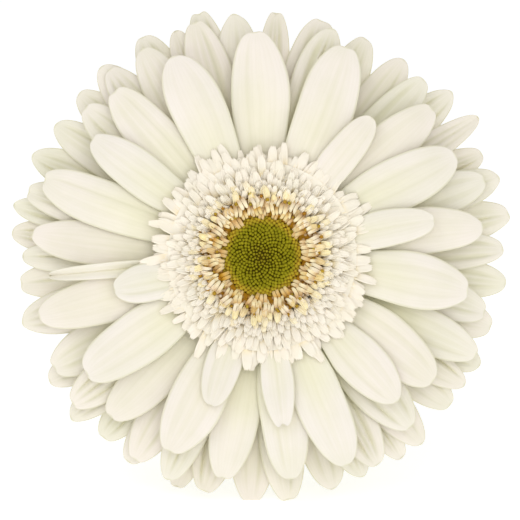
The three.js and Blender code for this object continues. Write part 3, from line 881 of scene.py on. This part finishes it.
# Rows of bracts: their count, seed, widths, and path of (radius, height) points up the cup.
INNER_BRACTS = (
    (26, 41, (3.0, 3.7, 4.1, 4.2, 4.0, 3.4, 2.6, 1.6, 0.3), (
        (9.5, -25.9), (11.5, -24.5), (13.4, -23.1), (14.8, -20.7), (15.6, -18.3), (16.4, -16.7),
        (17.7, -15.5), (19.4, -14.7), (21.2, -14.3),
    )),
)
OUTER_BRACTS = (
    (22, 42, (2.6, 3.2, 3.8, 4.0, 3.9, 3.3, 2.5, 1.5, 0.3), (
        (5.5, -28.7), (8.2, -27.3), (11.0, -25.6), (13.4, -24.1), (15.0, -22.4), (16.0, -21.1),
        (17.3, -20.1), (18.9, -19.5), (20.4, -19.2),
    )),
    (15, 43, (1.7, 2.4, 2.9, 3.0, 2.8, 2.3, 1.5, 0.3), (
        (2.9, -29.9), (4.9, -29.5), (7.4, -28.6), (9.6, -27.5), (11.5, -26.4), (13.2, -25.3),
        (14.6, -24.6), (15.9, -24.2),
    )),
)


def bract(widths, path):
    """A pointed green bract with a keel, along a path up the cup."""
    skin = Skin()
    last = len(path) - 1
    start = path[0]
    path = [(out - start[0], height - start[1]) for out, height in path]
    tones = [(i / last, 0, 0) for i in range(last + 1)]
    add_strap(skin, path, widths, 0.45, 0.4, tones, folds=KEELED, fold=0.18)
    return skin.to_object("bract", None, TO_METRES)


GOLDEN_INPUTS = [
    ("Geometry", "NodeSocketGeometry", None),
    ("Floret", "NodeSocketObject", None),
    ("Material", "NodeSocketMaterial", None),
    ("Count", "NodeSocketInt", 100),
    ("First Radius", "NodeSocketFloat", 0.0),
    ("Last Radius", "NodeSocketFloat", 0.01),
    ("Turn Step", "NodeSocketFloat", GOLDEN_ANGLE),
    ("First Height", "NodeSocketFloat", 0.0),
    ("Last Height", "NodeSocketFloat", 0.0),
    ("Bulge", "NodeSocketFloat", 0.0),
    ("First Tilt", "NodeSocketFloat", 0.0),
    ("Last Tilt", "NodeSocketFloat", 0.0),
    ("First Size", "NodeSocketFloat", 1.0),
    ("Last Size", "NodeSocketFloat", 1.0),
    ("Tilt Jitter", "NodeSocketFloat", 0.0),
    ("Turn Jitter", "NodeSocketFloat", 0.0),
    ("Size Jitter", "NodeSocketFloat", 0.0),
    ("Stray", "NodeSocketFloat", 0.0),
    ("Seed", "NodeSocketInt", 1),
]


def golden_tree():
    """Florets set out by the golden angle, from the first radius to the last."""
    name = "Florets by the golden angle"
    if name in bpy.data.node_groups:
        return bpy.data.node_groups[name]
    outputs = [("Geometry", "NodeSocketGeometry")]
    tree, given, result = new_group(name, GOLDEN_INPUTS, outputs, "GeometryNodeTree")
    value = given.outputs
    index = tree.nodes.new("GeometryNodeInputIndex").outputs[0]

    def chance(spread, seed_shift):
        low = maths(tree, "MULTIPLY", spread, -1.0) if isinstance(spread, bpy.types.NodeSocket) else 0.0
        seed = maths(tree, "ADD", value["Seed"], seed_shift)
        inputs = {2: low, 3: spread, 7: index, 8: seed}
        return add_node(tree, "FunctionNodeRandomValue", inputs, data_type="FLOAT").outputs[1]

    def between(first, last, share):
        return remap(tree, share, 0.0, 1.0, value[first], value[last], smooth=False)

    order = maths(tree, "DIVIDE", maths(tree, "ADD", index, 0.5), value["Count"])
    inner = maths(tree, "POWER", value["First Radius"], 2.0)
    outer = maths(tree, "POWER", value["Last Radius"], 2.0)
    radius = maths(tree, "SQRT", remap(tree, order, 0.0, 1.0, inner, outer, smooth=False))
    share = remap(tree, radius, value["First Radius"], value["Last Radius"], smooth=False)
    turn = maths(tree, "MULTIPLY", index, value["Turn Step"])
    squared = maths(tree, "POWER", share, 2.0)
    fallen = maths(tree, "SUBTRACT", 1.0, squared)
    hump = maths(tree, "MULTIPLY", maths(tree, "MULTIPLY", squared, fallen), 4.0)
    height = maths(
        tree, "MULTIPLY_ADD", hump, value["Bulge"], between("First Height", "Last Height", share)
    )
    x = maths(tree, "MULTIPLY_ADD", radius, maths(tree, "SINE", turn), chance(value["Stray"], 5))
    y = maths(tree, "MULTIPLY_ADD", radius, maths(tree, "COSINE", turn), chance(value["Stray"], 6))
    spot = add_node(tree, "ShaderNodeCombineXYZ", {0: x, 1: y, 2: height}).outputs[0]
    points = add_node(tree, "GeometryNodePoints", {"Count": value["Count"], "Position": spot}).outputs[0]
    for label, field in (("ring", share), ("pick", chance(1.0, 4))):
        points = add_node(
            tree, "GeometryNodeStoreNamedAttribute", {"Geometry": points, "Name": label, "Value": field},
            data_type="FLOAT", domain="POINT",
        ).outputs[0]
    tilt = maths(tree, "ADD", between("First Tilt", "Last Tilt", share), chance(value["Tilt Jitter"], 0))
    roll = chance(value["Turn Jitter"], 1)
    heading = maths(tree, "SUBTRACT", chance(value["Turn Jitter"], 2), turn)
    euler = add_node(
        tree, "ShaderNodeCombineXYZ", {0: maths(tree, "MULTIPLY", tilt, -1.0), 1: roll, 2: heading}
    ).outputs[0]
    rotation = add_node(tree, "FunctionNodeEulerToRotation", {0: euler}).outputs[0]
    size = maths(tree, "ADD", between("First Size", "Last Size", share), chance(value["Size Jitter"], 3))
    floret = add_node(tree, "GeometryNodeObjectInfo", {"Object": value["Floret"], "As Instance": True})
    placed = add_node(
        tree, "GeometryNodeInstanceOnPoints",
        {"Points": points, "Instance": floret.outputs["Geometry"], "Rotation": rotation, "Scale": size},
    ).outputs[0]
    real = add_node(tree, "GeometryNodeRealizeInstances", {0: placed}).outputs[0]
    joined = tree.nodes.new("GeometryNodeJoinGeometry")
    tree.links.new(real, joined.inputs[0])
    tree.links.new(value["Geometry"], joined.inputs[0])
    dressed = add_node(
        tree, "GeometryNodeSetMaterial", {"Geometry": joined.outputs[0], "Material": value["Material"]}
    ).outputs[0]
    tree.links.new(dressed, result.inputs[0])
    return tree


def settle(carrier, helpers=()):
    """Turns the carrier's evaluated geometry into its own plain mesh."""
    bpy.context.view_layer.update()
    graph = bpy.context.evaluated_depsgraph_get()
    mesh = bpy.data.meshes.new_from_object(
        carrier.evaluated_get(graph), preserve_all_data_layers=True, depsgraph=graph
    )
    carrier.modifiers.clear()
    carrier.data = mesh
    for helper in helpers:
        bpy.data.objects.remove(helper)


def run_tree(carrier, tree, values):
    """Adds the tree to the carrier as a modifier with its inputs set by their identifiers."""
    modifier = carrier.modifiers.new(tree.name, "NODES")
    modifier.node_group = tree
    for item in tree.interface.items_tree:
        if item.in_out == "INPUT" and item.name in values:
            modifier[item.identifier] = values[item.name]


def grow_florets(carrier, floret, material, **values):
    """Sets out copies of a floret by the golden angle and joins them to the carrier's own mesh."""
    inputs = {key.replace("_", " ").title(): value for key, value in values.items()}
    run_tree(carrier, golden_tree(), {"Floret": floret, "Material": material, **inputs})
    settle(carrier, [floret])


def turned_skin(outline, steps, tone):
    """A closed solid of revolution about the head's axis, from (radius, height) points upwards."""
    skin = Skin()
    rings = []
    for radius, height in outline:
        rings.append([polar(radius, -2 * math.pi * j / steps, height) for j in range(steps)])
    skin.loft(rings, [[(0.5, 0.5)] * steps] * len(rings), [tone] * len(rings))
    return skin


def band_skin(section, steps, tone):
    """A closed ring about the head's axis with a section of (radius, height) points."""
    skin = Skin()
    count = len(section)
    for j in range(steps):
        angle = 2 * math.pi * j / steps
        skin.points.extend(polar(radius, angle, height) for radius, height in section)
        for k in range(count):
            here, there = j * count, (j + 1) % steps * count
            after = (k + 1) % count
            skin.faces.append((here + k, here + after, there + after, there + k))
    skin.places = [(0.5, 0.5)] * len(skin.points)
    skin.tones = [tone] * len(skin.points)
    return skin


# ---------------------------------------------------------------- stem

STEM_LENGTH = 370
STEM_NECK_RADIUS = 2.9
STEM_FOOT_RADIUS = 3.8
STEM_BOW = 22
STEM_NECK_HEIGHT = -28.9


def stem_centre(t):
    """Middle of the stem at a share of its length, and its slope there."""
    slope = math.atan2(2 * STEM_BOW * t, STEM_LENGTH)
    return Vector((0, STEM_BOW * t * t, STEM_NECK_HEIGHT - STEM_LENGTH * t)), slope


def stem_ring(t, scale, settings, steps):
    """A ribbed section of the stem."""
    centre, slope = stem_centre(t)
    tilt = Matrix.Rotation(slope, 3, "X")
    radius = lerp(STEM_NECK_RADIUS, STEM_FOOT_RADIUS, t) * scale
    ring = []
    for j in range(steps):
        angle = -2 * math.pi * j / steps
        rib = 1 + settings.rib_depth * math.cos(9 * angle + 2.5 * t) + 0.012 * math.cos(4 * angle + 9 * t)
        ring.append(centre + tilt @ Vector((math.cos(angle), math.sin(angle), 0)) * radius * rib)
    return ring


def hair_tree():
    """Fine hairs scattered over a skin, each a thin spike along the surface's normal with a random lean."""
    inputs = [
        ("Geometry", "NodeSocketGeometry", None),
        ("Material", "NodeSocketMaterial", None),
        ("Density", "NodeSocketFloat", 100000.0),
        ("Length", "NodeSocketFloat", 0.001),
        ("Thickness", "NodeSocketFloat", 0.00004),
        ("Seed", "NodeSocketInt", 3),
    ]
    outputs = [("Geometry", "NodeSocketGeometry")]
    tree, given, result = new_group("Fine hairs", inputs, outputs, "GeometryNodeTree")
    value = given.outputs
    spread = add_node(
        tree, "GeometryNodeDistributePointsOnFaces",
        {"Mesh": value["Geometry"], "Density": value["Density"], "Seed": value["Seed"]},
    )
    jitter = add_node(
        tree, "FunctionNodeRandomValue", {0: (-0.7,) * 3, 1: (0.7,) * 3, 8: value["Seed"]},
        data_type="FLOAT_VECTOR",
    ).outputs[0]
    lean = add_node(tree, "ShaderNodeVectorMath", {0: spread.outputs["Normal"], 1: jitter}, operation="ADD")
    turn = add_node(tree, "FunctionNodeAlignRotationToVector", {"Vector": lean.outputs[0]}, axis="Z")
    spike = add_node(
        tree, "GeometryNodeMeshCone",
        {"Vertices": 3, "Radius Top": 0.0, "Radius Bottom": value["Thickness"], "Depth": value["Length"]},
    ).outputs[0]
    size = add_node(tree, "FunctionNodeRandomValue", {2: 0.4, 3: 1.2, 8: value["Seed"]}, data_type="FLOAT")
    placed = add_node(
        tree, "GeometryNodeInstanceOnPoints",
        {
            "Points": spread.outputs[0],
            "Instance": spike,
            "Rotation": turn.outputs[0],
            "Scale": size.outputs[1],
        },
    ).outputs[0]
    real = add_node(tree, "GeometryNodeRealizeInstances", {0: placed}).outputs[0]
    dressed = add_node(tree, "GeometryNodeSetMaterial", {"Geometry": real, "Material": value["Material"]})
    tree.links.new(dressed.outputs[0], result.inputs[0])
    return tree


# ---------------------------------------------------------------- settings


def colour_property(name, description, default):
    return FloatVectorProperty(
        name=name, description=description, default=default, size=3, min=0.0, max=1.0, subtype="COLOR"
    )


class GerberaPetalSettings(bpy.types.PropertyGroup):
    """Sizes and colours of the petals."""

    thickness: FloatProperty(
        name="Thickness", description="Thickness of a petal's middle", default=0.42 * MM, unit="LENGTH"
    )
    groove_depth: FloatProperty(
        name="Groove depth", description="Depth of the two lengthwise grooves, in millimetres", default=0.22
    )
    ripple: FloatProperty(
        name="Ripple", description="Height of the slow wave of the edges, in millimetres", default=0.16
    )
    tip_notch: FloatProperty(
        name="Tip notch", description="Depth of the deepest notch in a tip, in millimetres", default=0.9
    )
    tip_crimp: FloatProperty(
        name="Tip crimp", description="Depth of the small scallops of a tip, in millimetres", default=0.18
    )
    tip_bend: FloatProperty(
        name="Tip bend", description="How far the tips bend back, in millimetres", default=0.8
    )
    vein_shade: FloatProperty(
        name="Vein shade", description="How far the veins are darkened", default=0.1, subtype="FACTOR"
    )
    edge_shade: FloatProperty(
        name="Edge shade", description="How far margins and grooves are darkened", default=0.6,
        subtype="FACTOR",
    )
    # Painted shade: the darker khaki of the shade lines along a petal's margins and in its grooves.
    edge_colour: colour_property("Edge", "Colour of a petal's margin", (0.66, 0.64, 0.42))
    tip_colour: colour_property("Tip", "Colour towards a petal's tip", (0.85, 0.805, 0.74))
    root_colour: colour_property("Root", "Colour towards a petal's root", (0.84, 0.81, 0.59))
    # Painted shade: warm khaki given to the shaded gaps between petals.
    gap_shade_colour: colour_property("Hidden", "Rear petals where others cover them", (0.98, 0.955, 0.66))
    # Partly the rear petals' own greener colour, partly painted shade.
    rear_and_shade_tint: colour_property("Rear", "Tint of the rearmost petals", (0.88, 0.86, 0.66))
    warm_tint: colour_property("Warm", "Tint that differs from petal to petal", (0.87, 0.8, 0.72))
    vein_colour: colour_property("Veins", "Colour of the fine veins", (0.86, 0.85, 0.76))


class GerberaCentreSettings(bpy.types.PropertyGroup):
    """Counts and colours of the flower's centre."""

    bud_count: IntProperty(name="Buds", description="Closed buds in the eye", default=500, min=50)
    open_count: IntProperty(name="Open florets", description="Open disc florets", default=108, min=10)
    trans_count: IntProperty(name="Trans florets", description="Short strap florets", default=600, min=20)
    strap_colour: colour_property("Strap", "Trans florets towards their tips", (0.93, 0.87, 0.745))
    # Painted shade: warmer, darker colour at the straps' feet, where they shade each other.
    strap_foot_shade_colour: colour_property("Strap foot", "Trans florets at their feet", (1.0, 0.86, 0.56))
    blush_colour: colour_property("Blush", "Faint pink of some florets", (0.97, 0.865, 0.74))
    tube_colour: colour_property("Tube", "Tubes of the open florets", (0.6, 0.31, 0.02))
    lip_colour: colour_property("Lip", "Curled lips of the open florets", (0.99, 0.86, 0.47))
    anther_colour: colour_property("Anther", "Darker anthers", (0.45, 0.2, 0.02))
    pollen_colour: colour_property("Pollen", "Lighter anthers", (0.5, 0.38, 0.04))
    bud_colour: colour_property("Bud", "Darker buds of the eye", (0.17, 0.135, 0.003))
    bud_light_colour: colour_property("Light bud", "Lighter buds of the eye", (0.25, 0.215, 0.003))
    # Painted highlight at the buds' tips, and painted shade at their feet.
    bud_highlight_colour: colour_property("Bud tip", "Tips of the buds", (0.38, 0.34, 0.02))
    bud_foot_shade_colour: colour_property("Bud foot", "Shaded feet of the buds", (0.1, 0.075, 0.002))
    heart_colour: colour_property("Heart", "Smallest buds in the middle", (0.13, 0.07, 0.003))
    rim_colour: colour_property("Rim", "Buds about to open at the rim", (0.8, 0.5, 0.06))


class GerberaStemSettings(bpy.types.PropertyGroup):
    """Sizes and colours of the stem and bracts."""

    rib_depth: FloatProperty(
        name="Rib depth", description="Depth of the stem's ribs as a share of its radius", default=0.03
    )
    hair_length: FloatProperty(
        name="Hair length", description="Length of a long hair", default=0.8 * MM, unit="LENGTH"
    )
    hair_density: FloatProperty(
        name="Hair density", description="Hairs per square metre of stem", default=800000.0
    )
    light_colour: colour_property("Light", "Light green of the stem", (0.36, 0.46, 0.15))
    dark_colour: colour_property("Dark", "Dark green of the stem", (0.24, 0.34, 0.08))
    edge_colour: colour_property("Pale", "Pale fibres and bract edges", (0.5, 0.58, 0.28))
    bract_colour: colour_property("Bract", "Green of the bracts", (0.16, 0.26, 0.05))
    hair_colour: colour_property("Hair", "Colour of the fine hairs", (0.75, 0.78, 0.62))
    flesh_colour: colour_property("Flesh", "Pale flesh of the receptacle", (0.48, 0.56, 0.25))


class GerberaStageSettings(bpy.types.PropertyGroup):
    """Floor, light and camera."""

    floor_size: FloatProperty(
        name="Floor", description="Side of the square floor", default=12.0, unit="LENGTH"
    )
    floor_colour: colour_property("Floor colour", "Plain pale floor", (0.93, 0.93, 0.93))
    floor_glow: FloatProperty(name="Floor glow", description="Light from under the floor", default=0.44)
    sky_strength: FloatProperty(name="Sky", description="Strength of the white surround", default=0.6)
    key_power: FloatProperty(name="Key", description="Power of the soft key light in watts", default=1.5)
    fill_power: FloatProperty(name="Fill", description="Power of the broad front light in watts", default=3.0)
    camera_distance: FloatProperty(
        name="Distance", description="From the head to the camera", default=1.3, unit="LENGTH"
    )
    framed_width: FloatProperty(
        name="Framed width", description="Width that fills the view at the head", default=0.1189,
        unit="LENGTH",
    )


# ---------------------------------------------------------------- operators


class GERBERA_OT_short_petals(bpy.types.Operator):
    """Builds the short petals that lie on the front whorl"""

    bl_idname = "gerbera.short_petals"
    bl_label = "Short petals"

    def execute(self, context):
        material = petal_material("cream_petal")
        build_whorl("short_petal", SHORT_PETALS, SHORT_SIZE, material, "petal_cream")
        return {"FINISHED"}


class GERBERA_OT_front_petals(bpy.types.Operator):
    """Builds the front whorl of petals"""

    bl_idname = "gerbera.front_petals"
    bl_label = "Front petals"

    def execute(self, context):
        material = petal_material("ivory_petal")
        build_whorl("front_petal", FRONT_PETALS, FRONT_SIZE, material, "petal_ivory")
        return {"FINISHED"}


class GERBERA_OT_middle_petals(bpy.types.Operator):
    """Builds the middle whorl of petals"""

    bl_idname = "gerbera.middle_petals"
    bl_label = "Middle petals"

    def execute(self, context):
        material = petal_material("ivory_petal")
        build_whorl("middle_petal", MIDDLE_PETALS, MIDDLE_SIZE, material, "petal_ivory")
        return {"FINISHED"}


class GERBERA_OT_rear_petals(bpy.types.Operator):
    """Builds the rear whorl of petals as fans of four at a shared foot"""

    bl_idname = "gerbera.rear_petals"
    bl_label = "Rear petals"

    def execute(self, context):
        settings = context.scene.gerbera_petals
        material = petal_material("pale_petal")
        for i, rows in enumerate(REAR_FANS, 1):
            skin = Skin()
            add_fan_foot(skin, rows)
            for row in rows:
                Petal(row, REAR_SIZE, settings).add_to(skin)
            piece = skin.to_object(f"rear_petal_fan_{i:02d}_blades", material, HEAD_MM)
            hand_over(piece, "petal_pale_ivory", f"rear_petal_fan_{i:02d}")
        return {"FINISHED"}


class GERBERA_OT_disc_buds(bpy.types.Operator):
    """Builds the green eye of closed buds"""

    bl_idname = "gerbera.disc_buds"
    bl_label = "Disc buds"

    def execute(self, context):
        settings = context.scene.gerbera_centre
        outline = [(7.6, -4.3), (8.5, 0.0)]
        for i in range(EYE_STEPS, -1, -1):
            share = i / EYE_STEPS
            hump = 4 * share**2 * (1 - share**2) * EYE_BULGE
            outline.append((max(0.05, EYE_RADIUS * share), 0.3 + hump))
        material = bud_material()
        # The dome under the buds has tone 0, so it takes the painted shade of the buds' feet.
        eye = turned_skin(outline, 40, (0.0, 0.0, 0.0)).to_object(
            "eye_of_closed_buds", material, TO_METRES
        )
        grow_florets(
            eye, closed_bud(), material, count=settings.bud_count,
            first_radius=0.1 * MM, last_radius=9.1 * MM, first_height=0.5 * MM, last_height=0.5 * MM,
            bulge=EYE_BULGE * MM, first_tilt=0.0, last_tilt=0.35, first_size=0.66, last_size=1.08,
            tilt_jitter=0.25, turn_jitter=0.25, size_jitter=0.12, stray=0.09 * MM, seed=11,
        )
        eye.data.transform(HEAD)
        hand_over(eye, "bud_green", "disc_buds")
        return {"FINISHED"}


class GERBERA_OT_open_florets(bpy.types.Operator):
    """Builds the ring of open disc florets"""

    bl_idname = "gerbera.open_florets"
    bl_label = "Open disc florets"

    def execute(self, context):
        settings = context.scene.gerbera_centre
        outline = [(9.2, -4.2), (9.7, -4.2), (9.7, 0.0), (13.4, 1.3), (13.6, 1.7), (9.4, 0.9), (9.0, 0.2)]
        material = open_floret_material()
        ring = band_skin(outline, 48, (0.0, 0.0, 0.0)).to_object(
            "ring_of_open_florets", material, TO_METRES
        )
        # These buds' tone stops at half, so they stay tube-coloured and dark: painted shade that makes them
        # read as deep between the open florets.
        grow_florets(
            ring, closed_bud(0.5), material, count=2 * settings.open_count,
            first_radius=9.3 * MM, last_radius=13.4 * MM, first_height=0.9 * MM,
            last_height=1.9 * MM, bulge=0.0, first_tilt=-0.1, last_tilt=0.2, first_size=0.8,
            last_size=1.1, tilt_jitter=0.2, turn_jitter=0.3, size_jitter=0.15, stray=0.15 * MM, seed=22,
        )
        grow_florets(
            ring, open_floret(), material, count=settings.open_count,
            first_radius=10.5 * MM, last_radius=13.9 * MM, first_height=0.0 * MM,
            last_height=0.7 * MM, bulge=0.0, first_tilt=-0.1, last_tilt=0.22, first_size=0.92,
            last_size=1.05, tilt_jitter=0.18, turn_jitter=0.36, size_jitter=0.14, stray=0.3 * MM, seed=21,
        )
        ring.data.transform(HEAD)
        hand_over(ring, "floret_tan", "open_disc_florets")
        return {"FINISHED"}


class GERBERA_OT_trans_florets(bpy.types.Operator):
    """Builds the fluffy ring of short strap florets"""

    bl_idname = "gerbera.trans_florets"
    bl_label = "Trans florets"

    def execute(self, context):
        settings = context.scene.gerbera_centre
        under = [(radius, arch_height(radius) + 0.4) for radius in (14.6, 17.0, 19.0, 21.6)]
        over = [(radius, height + 0.3) for radius, height in reversed(under)]
        material = strap_material()
        ring = band_skin(under + over, 64, (0.8, 0.0, 0.0)).to_object(
            "ring_of_trans_florets", material, TO_METRES
        )
        rows = (
            (trans_floret(3.4, 1.2, 74, 28), 0.26, 12.9, 14.7, 1.4, 1.8, 0.0, 0.1, 34),
            (trans_floret(4.4, 1.5, 58, 12), 0.3, 13.9, 16.1, 1.6, 1.9, 0.1, 0.2, 31),
            (trans_floret(5.0, 1.8, 46, 2), 0.27, 15.5, 17.8, 1.6, 1.8, 0.14, 0.22, 32),
            (trans_floret(5.6, 2.1, 34, -4), 0.26, 17.4, 20.0, 1.4, 1.7, 0.16, 0.22, 33),
            (trans_floret(7.0, 1.9, 27, -6), 0.08, 18.3, 20.3, 1.3, 1.6, 0.12, 0.18, 35),
        )
        for floret, share, first, last, low, high, upright, lying, seed in rows:
            grow_florets(
                ring, floret, material, count=round(settings.trans_count * share),
                first_radius=first * MM, last_radius=last * MM, first_height=low * MM,
                last_height=high * MM, bulge=0.0, first_tilt=upright, last_tilt=lying,
                first_size=0.85, last_size=1.0, tilt_jitter=0.12, turn_jitter=0.32,
                size_jitter=0.2, stray=0.5 * MM, seed=seed,
            )
        ring.data.transform(HEAD)
        hand_over(ring, "floret_cream", "trans_florets")
        return {"FINISHED"}


class GERBERA_OT_bracts(bpy.types.Operator):
    """Builds both rows of green bracts and dresses the receptacle"""

    bl_idname = "gerbera.bracts"
    bl_label = "Bracts and receptacle"

    def execute(self, context):
        settings = context.scene.gerbera_stem
        green, dark = settings.bract_colour, tuple(c * 0.7 for c in settings.bract_colour)
        material = leafy_material("bract_green", green, dark, settings.edge_colour, (1.0, 1.0, 1.0))
        for name, node, rows in (
            ("inner_ring_of_bracts", "inner_bracts", INNER_BRACTS),
            ("outer_ring_of_bracts", "outer_bracts", OUTER_BRACTS),
        ):
            ring = bpy.data.objects.new(name, bpy.data.meshes.new(name))
            context.scene.collection.objects.link(ring)
            for count, seed, widths, path in rows:
                radius, height = path[0]
                grow_florets(
                    ring, bract(widths, path), material, count=count, first_radius=radius * MM,
                    last_radius=(radius + 0.3) * MM, turn_step=2 * math.pi / count,
                    first_height=height * MM, last_height=(height - 0.1) * MM, bulge=0.0,
                    first_tilt=0.0, last_tilt=0.0, first_size=0.95, last_size=1.0,
                    tilt_jitter=0.04, turn_jitter=0.07, size_jitter=0.05, seed=seed,
                )
            ring.data.transform(HEAD)
            hand_over(ring, "bract_green", node)
        flesh, deep = settings.flesh_colour, settings.light_colour
        skin = leafy_material("receptacle_flesh", flesh, deep, settings.edge_colour, (1.0, 1.0, 1.0))
        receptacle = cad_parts["receptacle"]
        receptacle.data.materials.clear()
        receptacle.data.materials.append(skin)
        return {"FINISHED"}


class GERBERA_OT_stem(bpy.types.Operator):
    """Builds the ribbed, hairy stem with its cut end"""

    bl_idname = "gerbera.stem"
    bl_label = "Stem"

    def execute(self, context):
        settings = context.scene.gerbera_stem
        steps, sides = 90, 54
        skin = Skin()
        rings = [stem_ring(i / steps, 1.0, settings, sides) for i in range(steps + 1)]
        skin.loft(rings, [[(0.5, i / steps)] * sides for i in range(steps + 1)], [(0, 0, 0)] * (steps + 1))
        colours = (settings.light_colour, settings.dark_colour, settings.edge_colour)
        material = leafy_material("stem_green", *colours, (1.0, 0.03, 1.0))
        piece = skin.to_object("ribbed_stem", material, HEAD_MM)
        hand_over(piece, "stem_green", "stem")

        end = Skin()
        outline = (
            (0.97, 0.9995), (0.97, 1.0003), (0.9, 1.0006), (0.7, 1.0005), (0.4, 1.0003), (0.03, 1.0001),
        )
        rings = [stem_ring(t, scale, settings, sides) for scale, t in outline]
        end.loft(rings, [[(0.5, 1.0)] * sides] * len(rings), [(scale, 0, 0) for scale, t in outline])
        face = end.to_object("stem_cut_end", cut_material(), HEAD_MM)
        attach(face, "root")

        bed = skin.to_object("stem_hairs", material, TO_METRES)
        down, _, shader = new_material("downy_hair", 0.6, specular=0.2)
        shader.inputs["Base Color"].default_value = (*settings.hair_colour, 1.0)
        run_tree(bed, hair_tree(), {
            "Material": down, "Density": settings.hair_density, "Length": settings.hair_length,
            "Thickness": 0.035 * MM, "Seed": 5,
        })
        settle(bed)
        bed.data.transform(HEAD)
        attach(bed, "root")
        return {"FINISHED"}


class GERBERA_OT_stage(bpy.types.Operator):
    """Sets the floor, the lights and the camera"""

    bl_idname = "gerbera.stage"
    bl_label = "Stage"

    def execute(self, context):
        settings = context.scene.gerbera_stage
        half = settings.floor_size / 2
        mesh = bpy.data.meshes.new("floor")
        corners = [(-half, -half, 0), (half, -half, 0), (half, half, 0), (-half, half, 0)]
        mesh.from_pydata(corners, [], [(0, 1, 2, 3)])
        floor = bpy.data.objects.new("floor", mesh)
        context.scene.collection.objects.link(floor)
        material, _, shader = new_material("pale_floor", 0.9, specular=0.0)
        shader.inputs["Base Color"].default_value = (*settings.floor_colour, 1.0)
        shader.inputs["Emission Color"].default_value = (1.0, 1.0, 1.0, 1.0)
        shader.inputs["Emission Strength"].default_value = settings.floor_glow
        mesh.materials.append(material)

        world = bpy.data.worlds.new("white_surround")
        world.use_nodes = True
        sky = world.node_tree.nodes["Background"]
        sky.inputs["Color"].default_value = (1.0, 1.0, 1.0, 1.0)
        sky.inputs["Strength"].default_value = settings.sky_strength
        context.scene.world = world

        head = HEAD.translation
        for name, place, size, power in (
            ("key", (-0.55, -0.7, 0.75), 0.5, settings.key_power),
            ("fill", (0.15, -1.0, 0.35), 0.7, settings.fill_power),
        ):
            light = bpy.data.lights.new(name, "AREA")
            light.size = size
            light.energy = power
            lamp = bpy.data.objects.new(name, light)
            lamp.location = head + Vector(place)
            lamp.rotation_euler = (head - lamp.location).to_track_quat("-Z", "Y").to_euler()
            context.scene.collection.objects.link(lamp)

        camera = bpy.data.cameras.new("camera")
        camera.lens = camera.sensor_width * settings.camera_distance / settings.framed_width
        camera.dof.use_dof = False
        camera.shift_x = -0.004
        camera.shift_y = -0.007
        eye = bpy.data.objects.new("camera", camera)
        eye.matrix_world = HEAD @ Matrix.Translation((0, 0, settings.camera_distance))
        camera.clip_end = 100
        context.scene.collection.objects.link(eye)
        context.scene.camera = eye
        context.scene.view_settings.view_transform = "Standard"
        context.scene.view_settings.look = "None"
        return {"FINISHED"}


OPERATORS = (
    GERBERA_OT_stage,
    GERBERA_OT_short_petals,
    GERBERA_OT_front_petals,
    GERBERA_OT_middle_petals,
    GERBERA_OT_rear_petals,
    GERBERA_OT_disc_buds,
    GERBERA_OT_open_florets,
    GERBERA_OT_trans_florets,
    GERBERA_OT_bracts,
    GERBERA_OT_stem,
)


class GERBERA_PT_panel(bpy.types.Panel):
    """Lists the flower's pieces"""

    bl_idname = "GERBERA_PT_panel"
    bl_label = "Cut gerbera"
    bl_space_type = "VIEW_3D"
    bl_region_type = "UI"
    bl_category = "Gerbera"

    def draw(self, context):
        for operator in OPERATORS:
            self.layout.operator(operator.bl_idname)


SETTINGS = {
    "gerbera_petals": GerberaPetalSettings,
    "gerbera_centre": GerberaCentreSettings,
    "gerbera_stem": GerberaStemSettings,
    "gerbera_stage": GerberaStageSettings,
}


def register():
    for item in (*SETTINGS.values(), *OPERATORS, GERBERA_PT_panel):
        bpy.utils.register_class(item)
    for name, group in SETTINGS.items():
        setattr(bpy.types.Scene, name, PointerProperty(type=group))


def unregister():
    for name in SETTINGS:
        delattr(bpy.types.Scene, name)
    for item in reversed((*SETTINGS.values(), *OPERATORS, GERBERA_PT_panel)):
        bpy.utils.unregister_class(item)


def main():
    register()
    for operator in OPERATORS:
        getattr(bpy.ops.gerbera, operator.bl_idname.split(".")[1])()


if __name__ == "__main__":
    main()
